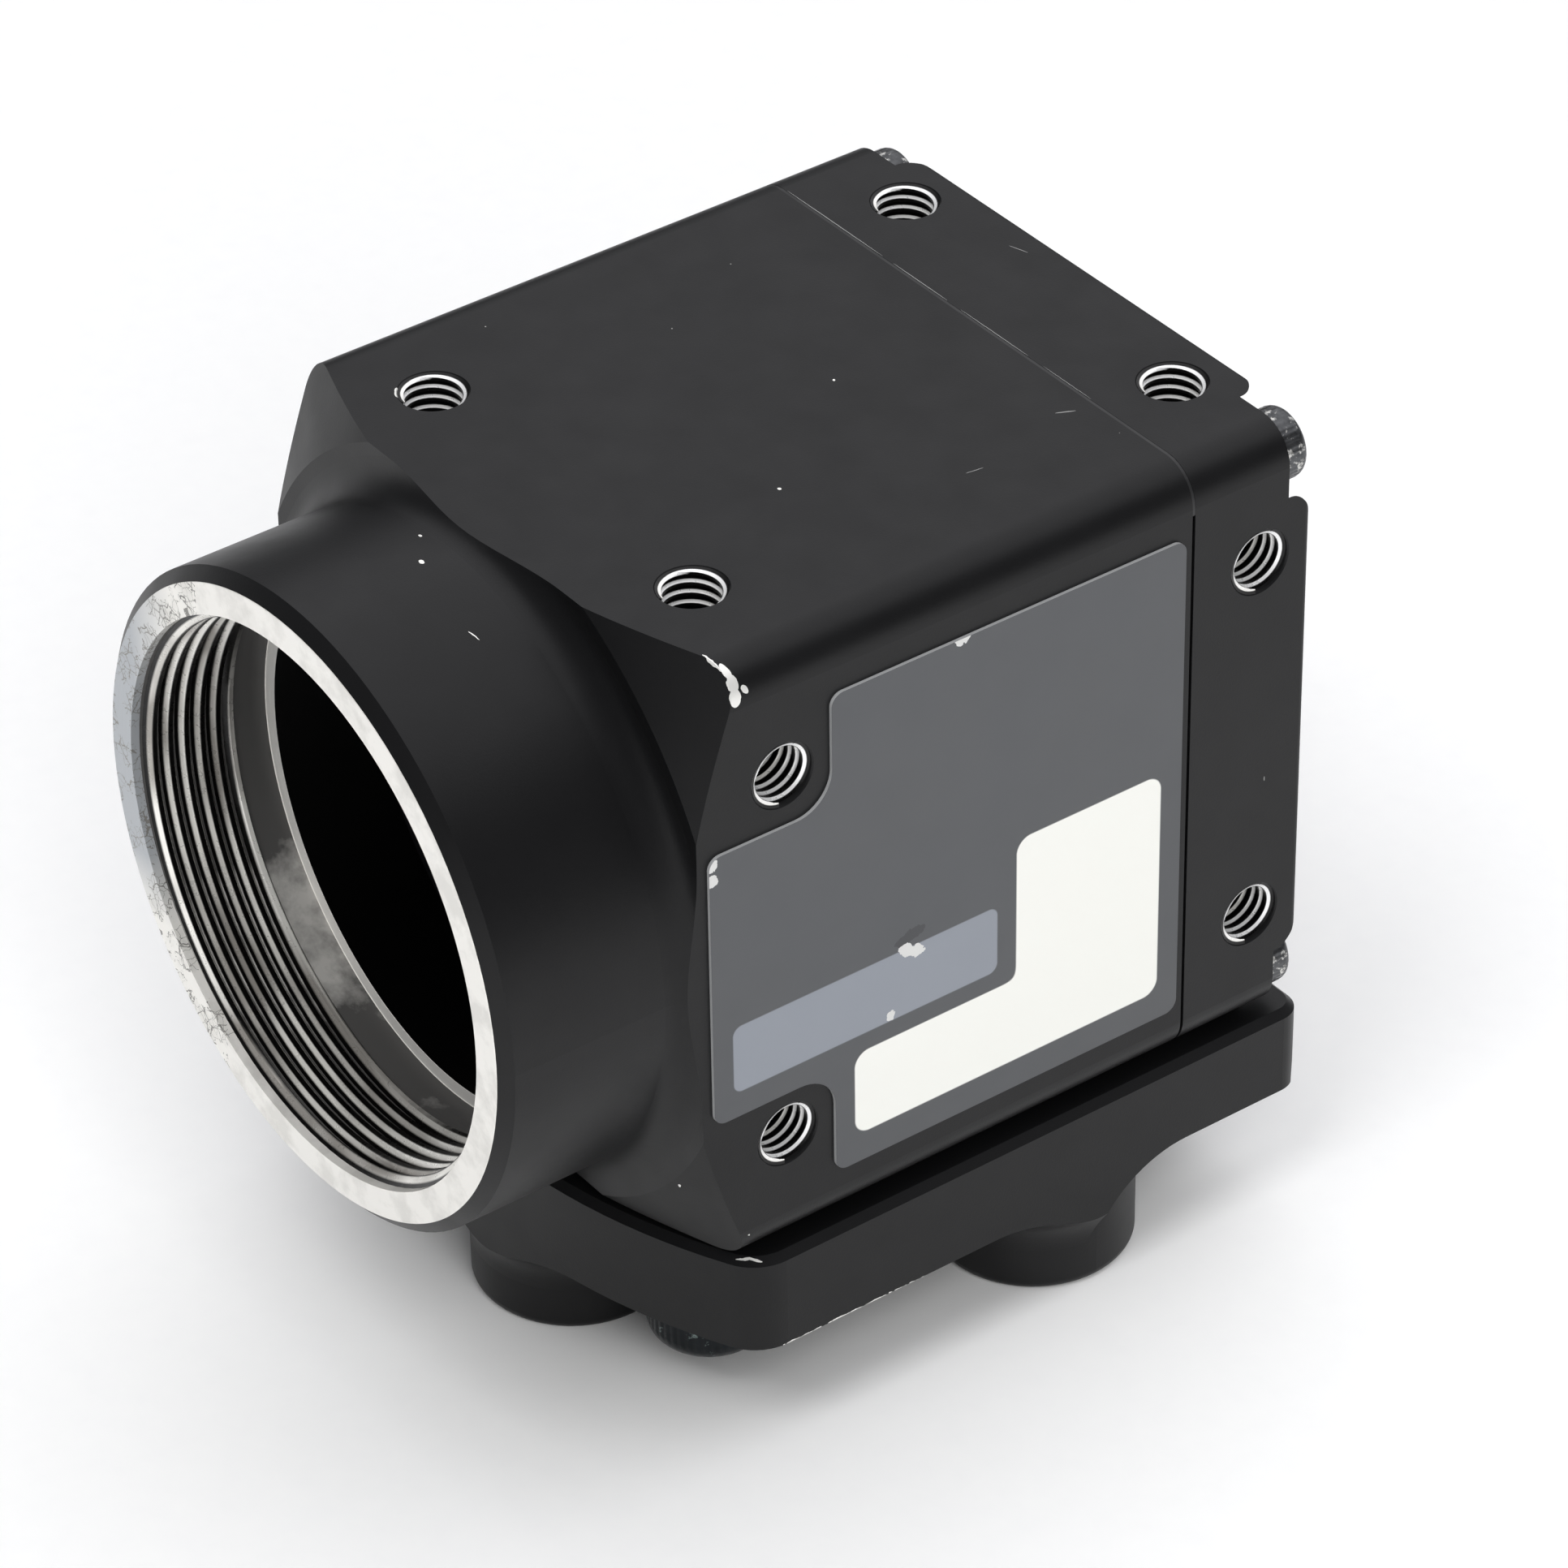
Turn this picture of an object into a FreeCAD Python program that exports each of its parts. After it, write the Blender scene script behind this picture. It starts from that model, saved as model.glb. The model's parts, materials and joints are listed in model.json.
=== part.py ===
import FreeCAD, Part
import math
import os

from FreeCAD import Vector

# Machine vision camera with a screw lens mount, on a base plate with three feet.
# Frame: origin at the centre of the lens mount's front face, +Y back along the optical
# axis, +X to the label side, +Z up. All lengths are millimetres.

# Body
BODY_WIDTH = 30.0
BODY_EDGE_RADIUS = 1.8
SPLIT_Y = 34.6
COVER_BACK_Y = 41.0
GASKET_THICKNESS = 0.15
GASKET_INSET = 0.4
HOUSING_WALL = 2.0

# Lens mount barrel and the shoulder behind it
BARREL_RADIUS = 14.7
BARREL_CHAMFER = 0.6
BARREL_CHAMFER_DEPTH = 0.5
SHOULDER_Y = 9.35
SHOULDER_FILLET = 1.5
SHOULDER_FLAT = 0.6
SHOULDER_SLOPE = 0.55

# Lens thread, one inch by 32 turns an inch, cut at its major radius
LENS_THREAD_RADIUS = 12.7
BORE_STEP_Y = 6.75
BORE_STEP = 0.65
SENSOR_PLANE_Y = 17.526

# M3 mounting holes, cut at their major radius
MOUNT_SPACING = 18.2
MOUNT_FRONT_Y = 13.65
MOUNT_REAR_Y = 38.3
M3_RADIUS = 1.5
M3_DEPTH = 3.4
M3_POINT = 0.4
M3_MOUTH_CHAMFER = 0.06

# Filter in front of the sensor
FILTER_SEAT_Y = 14.2
FILTER_SEAL_THICKNESS = 0.3
FILTER_THICKNESS = 1.0
FILTER_RADIUS = 11.2
FILTER_RING_LENGTH = 1.2
FILTER_RING_WALL = 1.7
FILTER_LEDGE = 1.3
SPANNER_NOTCH_WIDTH = 1.6
SPANNER_NOTCH_DEPTH = 0.6

# Light window through the web behind the filter
CAVITY_Y = 16.4
WINDOW_MARGIN = 0.5
WINDOW_FLARE = 0.9
WINDOW_CORNER = 1.0

# Sensor, the die as shares of the body's width
DIE_WIDTH_SHARE = 0.38
DIE_HEIGHT_SHARE = 0.287
DIE_THICKNESS = 0.4
DIE_MARGIN = 0.4
SENSOR_GLASS_THICKNESS = 0.5
SENSOR_GLASS_GAP = 0.4
PACKAGE_WALL = 1.1
PACKAGE_LEDGE = 0.4
PACKAGE_FLOOR = 0.97

# Circuit boards, spacers and small parts
BOARD_THICKNESS = 1.2
BOARD_CLEARANCE = 0.7
SPACER_INSET = 5.4
SPACER_FLATS = 2.8
FRONT_SPACER_LENGTH = 3.2
REAR_SPACER_LENGTH = 2.8
STUD_RADIUS = 0.75
STUD_REACH = 1.7
STUD_CLEARANCE = 0.05
BOARD_BOSS_RADIUS = 1.6
BOARD_SCREW_HEAD_RADIUS = 1.35
BOARD_SCREW_HEAD_HEIGHT = 0.9
LINK_SIDE_GAP = 3.1
LINK_HEIGHT = 3.0
LINK_INSET = 6.8
PROCESSOR_THICKNESS = 1.3
MEMORY_THICKNESS = 1.0
INDUCTOR_THICKNESS = 2.0
CHIP_GAP = 0.7

# Chips, as shares of the boards' width
PROCESSOR_SHARE = 0.407
MEMORY_WIDTH_SHARE = 0.305
MEMORY_HEIGHT_SHARE = 0.17
INDUCTOR_SHARE = 0.17

# Cover screws, M2
COVER_SCREW_INSET = 1.9
COVER_SCREW_RADIUS = 1.0
COVER_SCREW_HEAD_RADIUS = 1.6
COVER_SCREW_HEAD_HEIGHT = 1.35
COVER_SCREW_HEAD_ROUND = 0.35
COVER_SCREW_KEY = 1.3
COVER_SCREW_LENGTH = 8.0
SCREW_POST_RADIUS = 2.2
RECESS_DEPTH = 1.25
RECESS_RADIUS = 2.35
RECESS_FLARE = 1.15
COVER_WALL = 4.4
COVER_BACK_WALL = 1.8
COVER_LIP_LENGTH = 0.8
COVER_LIP_WALL = 1.2
COVER_EDGE_ROUND = 0.3
FIT_CLEARANCE = 0.15

# Network jack on the back, its heights and place as shares of the body's width
JACK_WIDTH = 15.2
JACK_HEIGHT_SHARE = 0.4333
JACK_INSET_SHARE = 0.1333
JACK_PROUD = 0.4
JACK_SHIELD_WALL = 0.25
PLUG_WIDTH = 11.8
PLUG_HEIGHT_SHARE = 0.24
PLUG_DEPTH = 10.6
PLUG_Z_OFFSET = -0.6
LATCH_WIDTHS = (6.2, 3.4)
LATCH_STEP_SHARES = (0.04, 0.04)
CONTACT_COUNT = 8
CONTACT_PITCH = 1.02
CONTACT_THICKNESS = 0.35
CONTACT_RISE = 1.9
CONTACT_RUN = 6.0

# Round power and trigger socket on the back, its radius and place as shares of the body's width
SOCKET_X_SHARE = 0.1135
SOCKET_INSET_SHARE = 0.2433
SOCKET_RADIUS_SHARE = 0.1233
SOCKET_WALL = 0.6
SOCKET_GROOVE = 0.6
SOCKET_FLANGE = 0.8
SOCKET_FLANGE_THICKNESS = 1.0
SOCKET_NUT_MARGIN = 1.0
SOCKET_NUT_THICKNESS = 1.1
SOCKET_PROUD = 1.9
SOCKET_BODY_LENGTH = 6.5
SOCKET_WAYS = 6
SOCKET_WAY_SHARE = 0.392
SOCKET_WAY_RADIUS = 0.4
SOCKET_WAY_DEPTH = 3.0

# Status lamp, its place as a share of the body's width
LAMP_X_SHARE = 0.1865
LIGHT_PIPE_RADIUS = 0.9
LED_SIZE = 1.8
LED_THICKNESS = 0.8

# Label on the right side
LABEL_THICKNESS = 0.15
LABEL_FRONT_Y = 9.85
LABEL_BACK_Y = 34.2
LABEL_HEIGHT = 24.2
LABEL_DROP = 0.1
LABEL_HOLE_MARGIN = 0.85
LABEL_CORNER = 0.6
LABEL_NOTCH_CORNER = 1.8

# Base plate
BASE_GAP = 0.45
BASE_THICKNESS = 4.85
BASE_FRONT_Y = 8.1
BASE_BACK_Y = 41.7
BASE_BOW_RADIUS = 30.0
BASE_FRONT_CORNER = 2.3
BASE_BACK_CORNER = 1.2
BASE_TOP_CHAMFER = 0.35
BASE_BACK_LEAN = 0.6
BASE_RELIEF = 0.55
BASE_RELIEF_Y = 35.1
BASE_RELIEF_RADIUS = 5.5
BASE_SEAT_RADIUS = 2.9
BASE_HOLE_CLEARANCE = 0.2
BASE_HEAD_CLEARANCE = 0.1
FOOT_RADIUS = 4.55
FOOT_HEIGHT = 5.25
FOOT_FLARE = 3.0
FOOT_EDGE_ROUND = 0.5
FRONT_FOOT_Y = 12.95
FOOT_TRIANGLE_SIDE = 20.2
TRIPOD_THREAD_RADIUS = 3.175
TRIPOD_CHAMFER = 0.4

# Base screws, M3 cap screws
BASE_SCREW_HEAD_RADIUS = 2.75
BASE_SCREW_HEAD_HEIGHT = 3.0
BASE_SCREW_HEAD_ROUND = 0.9
BASE_SCREW_LENGTH = 8.0
BASE_SCREW_KEY = 2.5
THREAD_PLAY = 0.03

# Places worked out from the sizes above
HALF = BODY_WIDTH / 2
CAVITY_HALF = HALF - HOUSING_WALL
COVER_SCREW_OFFSET = HALF - COVER_SCREW_INSET
SPACER_OFFSET = HALF - SPACER_INSET
LINK_OFFSET = HALF - LINK_INSET
LINK_WIDTH = 2 * (SPACER_OFFSET - LINK_SIDE_GAP)
JACK_HEIGHT = JACK_HEIGHT_SHARE * BODY_WIDTH
JACK_Z = JACK_INSET_SHARE * BODY_WIDTH + JACK_HEIGHT / 2 - HALF
PLUG_HEIGHT = PLUG_HEIGHT_SHARE * BODY_WIDTH
LATCH_STEPS = [share * BODY_WIDTH for share in LATCH_STEP_SHARES]
SOCKET_RADIUS = SOCKET_RADIUS_SHARE * BODY_WIDTH
SOCKET_NUT_RADIUS = SOCKET_RADIUS + SOCKET_NUT_MARGIN
SOCKET_WAY_CIRCLE = SOCKET_WAY_SHARE * SOCKET_RADIUS
SOCKET_X = -SOCKET_X_SHARE * BODY_WIDTH
SOCKET_Z = HALF - SOCKET_INSET_SHARE * BODY_WIDTH
LAMP_X = LAMP_X_SHARE * BODY_WIDTH
LAMP_Z = SOCKET_Z
DIE_WIDTH = DIE_WIDTH_SHARE * BODY_WIDTH
DIE_HEIGHT = DIE_HEIGHT_SHARE * BODY_WIDTH
WINDOW_WIDTH = DIE_WIDTH + 2 * WINDOW_MARGIN
WINDOW_HEIGHT = DIE_HEIGHT + 2 * WINDOW_MARGIN
BORE_RADIUS = LENS_THREAD_RADIUS - BORE_STEP
COVER_FRONT_Y = SPLIT_Y + GASKET_THICKNESS
MOUNT_HALF = MOUNT_SPACING / 2
SENSOR_GLASS_BACK_Y = SENSOR_PLANE_Y - SENSOR_GLASS_GAP
SENSOR_GLASS_Y = SENSOR_GLASS_BACK_Y - SENSOR_GLASS_THICKNESS
PACKAGE_FLOOR_Y = SENSOR_PLANE_Y + DIE_THICKNESS
SENSOR_BOARD_Y = PACKAGE_FLOOR_Y + PACKAGE_FLOOR
SENSOR_BOARD_BACK_Y = SENSOR_BOARD_Y + BOARD_THICKNESS
MAIN_BOARD_Y = SENSOR_BOARD_BACK_Y + FRONT_SPACER_LENGTH
MAIN_BOARD_BACK_Y = MAIN_BOARD_Y + BOARD_THICKNESS
CONNECTOR_BOARD_Y = MAIN_BOARD_BACK_Y + REAR_SPACER_LENGTH
CONNECTOR_BOARD_BACK_Y = CONNECTOR_BOARD_Y + BOARD_THICKNESS
BOARD_HALF = CAVITY_HALF - BOARD_CLEARANCE
PACKAGE_INNER_WIDTH = DIE_WIDTH + 2 * DIE_MARGIN
PACKAGE_INNER_HEIGHT = DIE_HEIGHT + 2 * DIE_MARGIN
PACKAGE_WIDTH = PACKAGE_INNER_WIDTH + 2 * PACKAGE_WALL
PACKAGE_HEIGHT = PACKAGE_INNER_HEIGHT + 2 * PACKAGE_WALL
SENSOR_GLASS_WIDTH = PACKAGE_WIDTH - 2 * PACKAGE_LEDGE
SENSOR_GLASS_HEIGHT = PACKAGE_HEIGHT - 2 * PACKAGE_LEDGE
RECESS_FLOOR_Y = COVER_BACK_Y - RECESS_DEPTH
JACK_BACK_Y = COVER_BACK_Y + JACK_PROUD
BASE_TOP_Z = -HALF - BASE_GAP
BASE_BOTTOM_Z = BASE_TOP_Z - BASE_THICKNESS
FOOT_BOTTOM_Z = BASE_BOTTOM_Z - FOOT_HEIGHT
OUTSIDE = 2.0

CORNERS = [(-1, -1), (1, -1), (-1, 1), (1, 1)]
REAR_FOOT_X = FOOT_TRIANGLE_SIDE / 2
REAR_FOOT_Y = FRONT_FOOT_Y + FOOT_TRIANGLE_SIDE * math.sqrt(3) / 2
FEET = [(0.0, FRONT_FOOT_Y), (-REAR_FOOT_X, REAR_FOOT_Y), (REAR_FOOT_X, REAR_FOOT_Y)]
TRIPOD_Y = FRONT_FOOT_Y + FOOT_TRIANGLE_SIDE / math.sqrt(3)


def block(width, height, y0, y1, x=0.0, z=0.0, corner=0.0):
    """Rectangular block along Y, centred on (x, z), with its long edges rounded."""
    shape = Part.makeBox(width, y1 - y0, height, Vector(x - width / 2, y0, z - height / 2))
    if corner > 0:
        edges = [e for e in shape.Edges if abs(e.tangentAt(e.FirstParameter).y) > 0.99]
        shape = shape.makeFillet(corner, edges)
    return shape


def body_block(y0, y1):
    """Square body section, its top and right faces listed first, so the open M3 holes come before the base's."""
    shape = block(BODY_WIDTH, BODY_WIDTH, y0, y1, corner=BODY_EDGE_RADIUS)
    shape.rotate(Vector(), Vector(0, 1, 0), 180)
    return shape


def rod(radius, y0, y1, x=0.0, z=0.0):
    """Cylinder along Y."""
    return Part.makeCylinder(radius, y1 - y0, Vector(x, y0, z), Vector(0, 1, 0))


def post(radius, z0, z1, x=0.0, y=0.0):
    """Cylinder along Z."""
    return Part.makeCylinder(radius, z1 - z0, Vector(x, y, z0), Vector(0, 0, 1))


def turned(outline, x=0.0, z=0.0):
    """Solid turned about the Y axis through (x, z) from (radius, y) points.

    A point with four values, (radius, y, mid radius, mid y), is reached by an arc.
    """
    edges = []
    last = outline[-1][:2]
    for point in outline:
        a, b = Vector(last[0], last[1], 0), Vector(point[0], point[1], 0)
        if len(point) == 4:
            edges.append(Part.Arc(a, Vector(point[2], point[3], 0), b).toShape())
        elif a.distanceToPoint(b) > 1e-6:
            edges.append(Part.makeLine(a, b))
        last = point[:2]
    solid = Part.Face(Part.Wire(edges)).revolve(Vector(), Vector(0, 1, 0), 360)
    solid.translate(Vector(x, 0, z))
    return solid


def hex_bar(flats, y0, y1, x=0.0, z=0.0):
    """Hexagonal bar along Y, measured across its flats."""
    radius = flats / math.sqrt(3)
    corners = [
        Vector(x + radius * math.cos(math.radians(60 * k)), y0, z + radius * math.sin(math.radians(60 * k)))
        for k in range(7)
    ]
    return Part.Face(Part.makePolygon(corners)).extrude(Vector(0, y1 - y0, 0))


def rounded_wire(width, height, corner, y):
    """Closed rounded rectangle across the optical axis, for a loft."""
    section = block(width, height, y, y + 1, corner=corner)
    face = min(section.Faces, key=lambda f: f.CenterOfMass.y)
    return face.OuterWire


def cap_screw(head_radius, head_height, head_round, key, shank_radius, length):
    """Socket head screw along Y: the head lies at y > 0, and the shank at y < 0."""
    head = turned([
        (0, 0),
        (head_radius, 0),
        (head_radius, head_height - head_round),
        (
            head_radius - head_round, head_height,
            head_radius - head_round * (1 - math.sqrt(0.5)), head_height - head_round * (1 - math.sqrt(0.5)),
        ),
        (0, head_height),
    ])
    tip = 0.3 * shank_radius
    shank = turned([(0, 0), (0, -length), (shank_radius - tip, -length), (shank_radius, -length + tip), (shank_radius, 0)])
    socket = hex_bar(key, head_height / 2, head_height + OUTSIDE)
    return head.fuse(shank).cut(socket).removeSplitter()


def m3_hole(face, y, across):
    """Cutter for one M3 hole with its mouth chamfer, on the face named 'top', 'bottom', 'right' or 'left'."""
    depth_y = [
        (0, -OUTSIDE),
        (M3_RADIUS + M3_MOUTH_CHAMFER, -OUTSIDE),
        (M3_RADIUS + M3_MOUTH_CHAMFER, 0),
        (M3_RADIUS, M3_MOUTH_CHAMFER),
        (M3_RADIUS, M3_DEPTH),
        (0, M3_DEPTH + M3_POINT),
    ]
    cutter = turned(depth_y)
    angle = {"top": -90, "bottom": 90}.get(face)
    if angle is not None:
        cutter.rotate(Vector(), Vector(1, 0, 0), angle)
        cutter.translate(Vector(across, y, HALF if face == "top" else -HALF))
    else:
        side = 1 if face == "right" else -1
        cutter.rotate(Vector(), Vector(0, 0, 1), 90 * side)
        cutter.translate(Vector(side * HALF, y, across))
    return cutter


def m3_row(y):
    """The eight M3 holes round the body at one distance from the lens mount."""
    return [m3_hole(face, y, side * MOUNT_HALF) for face in ("top", "bottom", "right", "left") for side in (-1, 1)]


def corner_rods(radius, y0, y1, offset=COVER_SCREW_OFFSET):
    """Four rods at the corners, one for each cover screw or spacer."""
    return [rod(radius, y0, y1, sx * offset, sz * offset) for sx, sz in CORNERS]


def board_outline(y0, y1):
    """Square board with its corners cut back round the screw posts."""
    board = block(2 * BOARD_HALF, 2 * BOARD_HALF, y0, y1)
    return board.cut(corner_rods(SCREW_POST_RADIUS + BOARD_CLEARANCE / 2, y0 - OUTSIDE, y1 + OUTSIDE))


def front_housing():
    cone_radius = BARREL_RADIUS + SHOULDER_FILLET + SHOULDER_FLAT
    corner_radius = HALF * math.sqrt(2) + OUTSIDE
    bend = SHOULDER_FILLET * (1 - math.sqrt(0.5))
    envelope = turned([
        (0, 0),
        (BARREL_RADIUS - BARREL_CHAMFER, 0),
        (BARREL_RADIUS, BARREL_CHAMFER_DEPTH),
        (BARREL_RADIUS, SHOULDER_Y - SHOULDER_FILLET),
        (BARREL_RADIUS + SHOULDER_FILLET, SHOULDER_Y, BARREL_RADIUS + bend, SHOULDER_Y - bend),
        (cone_radius, SHOULDER_Y),
        (corner_radius, SHOULDER_Y + SHOULDER_SLOPE * (corner_radius - cone_radius)),
        (corner_radius, SPLIT_Y),
        (0, SPLIT_Y),
    ])
    body = body_block(0, SPLIT_Y).common(envelope)

    bore = turned([
        (0, -OUTSIDE),
        (LENS_THREAD_RADIUS, -OUTSIDE),
        (LENS_THREAD_RADIUS, BORE_STEP_Y),
        (BORE_RADIUS, BORE_STEP_Y),
        (BORE_RADIUS, FILTER_SEAT_Y),
        (0, FILTER_SEAT_Y),
    ])
    window = Part.makeLoft([
        rounded_wire(WINDOW_WIDTH + 2 * WINDOW_FLARE, WINDOW_HEIGHT + 2 * WINDOW_FLARE, WINDOW_CORNER, FILTER_SEAT_Y),
        rounded_wire(WINDOW_WIDTH, WINDOW_HEIGHT, WINDOW_CORNER, CAVITY_Y),
    ], True, True)

    cavity = block(2 * CAVITY_HALF, 2 * CAVITY_HALF, CAVITY_Y, SPLIT_Y + OUTSIDE)
    bosses = corner_rods(BOARD_BOSS_RADIUS, CAVITY_Y, SENSOR_BOARD_Y, SPACER_OFFSET)
    kept = corner_rods(SCREW_POST_RADIUS, CAVITY_Y, SPLIT_Y)
    cavity = cavity.cut(kept + bosses)

    tapped = corner_rods(COVER_SCREW_RADIUS, SPLIT_Y - COVER_SCREW_LENGTH, SPLIT_Y + OUTSIDE)
    stud_end = SENSOR_BOARD_Y - STUD_REACH - STUD_RADIUS
    stud_holes = corner_rods(STUD_RADIUS + STUD_CLEARANCE, stud_end, SENSOR_BOARD_Y + OUTSIDE, SPACER_OFFSET)
    return body.cut([bore, window, cavity] + tapped + stud_holes + m3_row(MOUNT_FRONT_Y)).removeSplitter()


def screw_recess(sx, sz):
    """Cutter for one corner recess of the cover, flared to the back face by a round."""
    flare = RECESS_FLARE * (1 - math.sqrt(0.5))
    top = COVER_BACK_Y - RECESS_FLARE
    return turned([
        (0, RECESS_FLOOR_Y),
        (RECESS_RADIUS, RECESS_FLOOR_Y),
        (RECESS_RADIUS, top),
        (RECESS_RADIUS + RECESS_FLARE, COVER_BACK_Y, RECESS_RADIUS + flare, COVER_BACK_Y - flare),
        (RECESS_RADIUS + RECESS_FLARE, COVER_BACK_Y + OUTSIDE),
        (0, COVER_BACK_Y + OUTSIDE),
    ], sx * COVER_SCREW_OFFSET, sz * COVER_SCREW_OFFSET)


def rear_cover():
    body = body_block(COVER_FRONT_Y, COVER_BACK_Y)
    rim = [e for e in body.Edges if abs(e.BoundBox.YMin - COVER_BACK_Y) < 1e-6]
    body = body.makeFillet(COVER_EDGE_ROUND, rim)

    lip_half = CAVITY_HALF - FIT_CLEARANCE
    lip_inner = lip_half - COVER_LIP_WALL
    lip_front = COVER_FRONT_Y - GASKET_THICKNESS - COVER_LIP_LENGTH
    lip = block(2 * lip_half, 2 * lip_half, lip_front, COVER_FRONT_Y)
    lip = lip.cut([block(2 * lip_inner, 2 * lip_inner, lip_front, COVER_FRONT_Y)]
                  + corner_rods(SCREW_POST_RADIUS + FIT_CLEARANCE, lip_front, COVER_FRONT_Y))

    pocket_width = 2 * (HALF - COVER_WALL)
    pocket = block(pocket_width, pocket_width, COVER_FRONT_Y, COVER_BACK_Y - COVER_BACK_WALL)
    through = COVER_BACK_Y + OUTSIDE
    jack_hole = block(
        JACK_WIDTH + 2 * FIT_CLEARANCE, JACK_HEIGHT + 2 * FIT_CLEARANCE, COVER_FRONT_Y, through, z=JACK_Z)
    socket_hole = rod(SOCKET_RADIUS + FIT_CLEARANCE, COVER_FRONT_Y, through, SOCKET_X, SOCKET_Z)
    flange_room = rod(
        SOCKET_RADIUS + SOCKET_FLANGE + FIT_CLEARANCE, COVER_FRONT_Y, COVER_BACK_Y - COVER_BACK_WALL,
        SOCKET_X, SOCKET_Z)
    lamp_hole = rod(LIGHT_PIPE_RADIUS + FIT_CLEARANCE / 3, COVER_FRONT_Y, through, LAMP_X, LAMP_Z)
    screw_holes = corner_rods(COVER_SCREW_RADIUS + FIT_CLEARANCE, COVER_FRONT_Y - OUTSIDE, through)
    recesses = [screw_recess(sx, sz) for sx, sz in CORNERS]
    cuts = [pocket, jack_hole, socket_hole, flange_room, lamp_hole] + screw_holes + recesses + m3_row(MOUNT_REAR_Y)
    return body.fuse(lip).cut(cuts).removeSplitter()


def cover_gasket():
    width = BODY_WIDTH - 2 * GASKET_INSET
    sheet = block(width, width, SPLIT_Y, COVER_FRONT_Y, corner=BODY_EDGE_RADIUS - GASKET_INSET / 2)
    middle = block(2 * CAVITY_HALF, 2 * CAVITY_HALF, SPLIT_Y - OUTSIDE, COVER_FRONT_Y + OUTSIDE)
    middle = middle.cut(corner_rods(SCREW_POST_RADIUS, SPLIT_Y - OUTSIDE, COVER_FRONT_Y + OUTSIDE))
    holes = corner_rods(COVER_SCREW_RADIUS + FIT_CLEARANCE, SPLIT_Y - OUTSIDE, COVER_FRONT_Y + OUTSIDE)
    return sheet.cut([middle] + holes)


def cover_screws():
    screw = cap_screw(
        COVER_SCREW_HEAD_RADIUS, COVER_SCREW_HEAD_HEIGHT, COVER_SCREW_HEAD_ROUND, COVER_SCREW_KEY,
        COVER_SCREW_RADIUS - THREAD_PLAY, COVER_SCREW_LENGTH)
    screws = []
    for sx, sz in CORNERS:
        placed = screw.copy()
        placed.translate(Vector(sx * COVER_SCREW_OFFSET, RECESS_FLOOR_Y, sz * COVER_SCREW_OFFSET))
        screws.append(placed)
    return screws


def filter_stack():
    """Seal, glass and threaded ring, from the seat forward."""
    seal_front = FILTER_SEAT_Y - FILTER_SEAL_THICKNESS
    glass_front = seal_front - FILTER_THICKNESS
    ring_front = glass_front - FILTER_RING_LENGTH
    inner = FILTER_RADIUS - FILTER_LEDGE
    seal = rod(FILTER_RADIUS, seal_front, FILTER_SEAT_Y).cut(rod(inner, seal_front, FILTER_SEAT_Y))
    glass = rod(FILTER_RADIUS, glass_front, seal_front)
    ring_radius = BORE_RADIUS - THREAD_PLAY
    ring_inner = ring_radius - FILTER_RING_WALL
    ring = rod(ring_radius, ring_front, glass_front).cut(rod(ring_inner, ring_front, glass_front))
    notch = block(
        2 * BORE_RADIUS + OUTSIDE, SPANNER_NOTCH_WIDTH, ring_front - OUTSIDE, ring_front + SPANNER_NOTCH_DEPTH)
    return seal, glass, ring.cut(notch)


def sensor_parts():
    """Dust seal, ceramic package, die and cover glass."""
    seal = block(SENSOR_GLASS_WIDTH, SENSOR_GLASS_HEIGHT, CAVITY_Y, SENSOR_GLASS_Y)
    seal = seal.cut(block(DIE_WIDTH, DIE_HEIGHT, CAVITY_Y - OUTSIDE, SENSOR_GLASS_Y + OUTSIDE))
    package = block(PACKAGE_WIDTH, PACKAGE_HEIGHT, SENSOR_GLASS_BACK_Y, SENSOR_BOARD_Y)
    package = package.cut(
        block(PACKAGE_INNER_WIDTH, PACKAGE_INNER_HEIGHT, SENSOR_GLASS_BACK_Y - OUTSIDE, PACKAGE_FLOOR_Y))
    die = block(DIE_WIDTH, DIE_HEIGHT, SENSOR_PLANE_Y, PACKAGE_FLOOR_Y)
    glass = block(SENSOR_GLASS_WIDTH, SENSOR_GLASS_HEIGHT, SENSOR_GLASS_Y, SENSOR_GLASS_BACK_Y)
    return seal, package, die, glass


def board(y):
    """Circuit board with holes for the spacers' studs."""
    outline = board_outline(y, y + BOARD_THICKNESS)
    holes = corner_rods(STUD_RADIUS + STUD_CLEARANCE, y - OUTSIDE, y + BOARD_THICKNESS + OUTSIDE, SPACER_OFFSET)
    return outline.cut(holes)


def spacers(y0, length):
    """Four hexagonal spacers: a stud forward through the board, a tapped hole at the back."""
    placed = []
    for sx, sz in CORNERS:
        x, z = sx * SPACER_OFFSET, sz * SPACER_OFFSET
        bar = hex_bar(SPACER_FLATS, y0, y0 + length, x, z)
        stud = rod(STUD_RADIUS, y0 - BOARD_THICKNESS - STUD_REACH, y0, x, z)
        hole = rod(STUD_RADIUS + STUD_CLEARANCE, y0 + length - STUD_REACH - STUD_CLEARANCE, y0 + length, x, z)
        placed.append(bar.fuse(stud).cut(hole).removeSplitter())
    return placed


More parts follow.
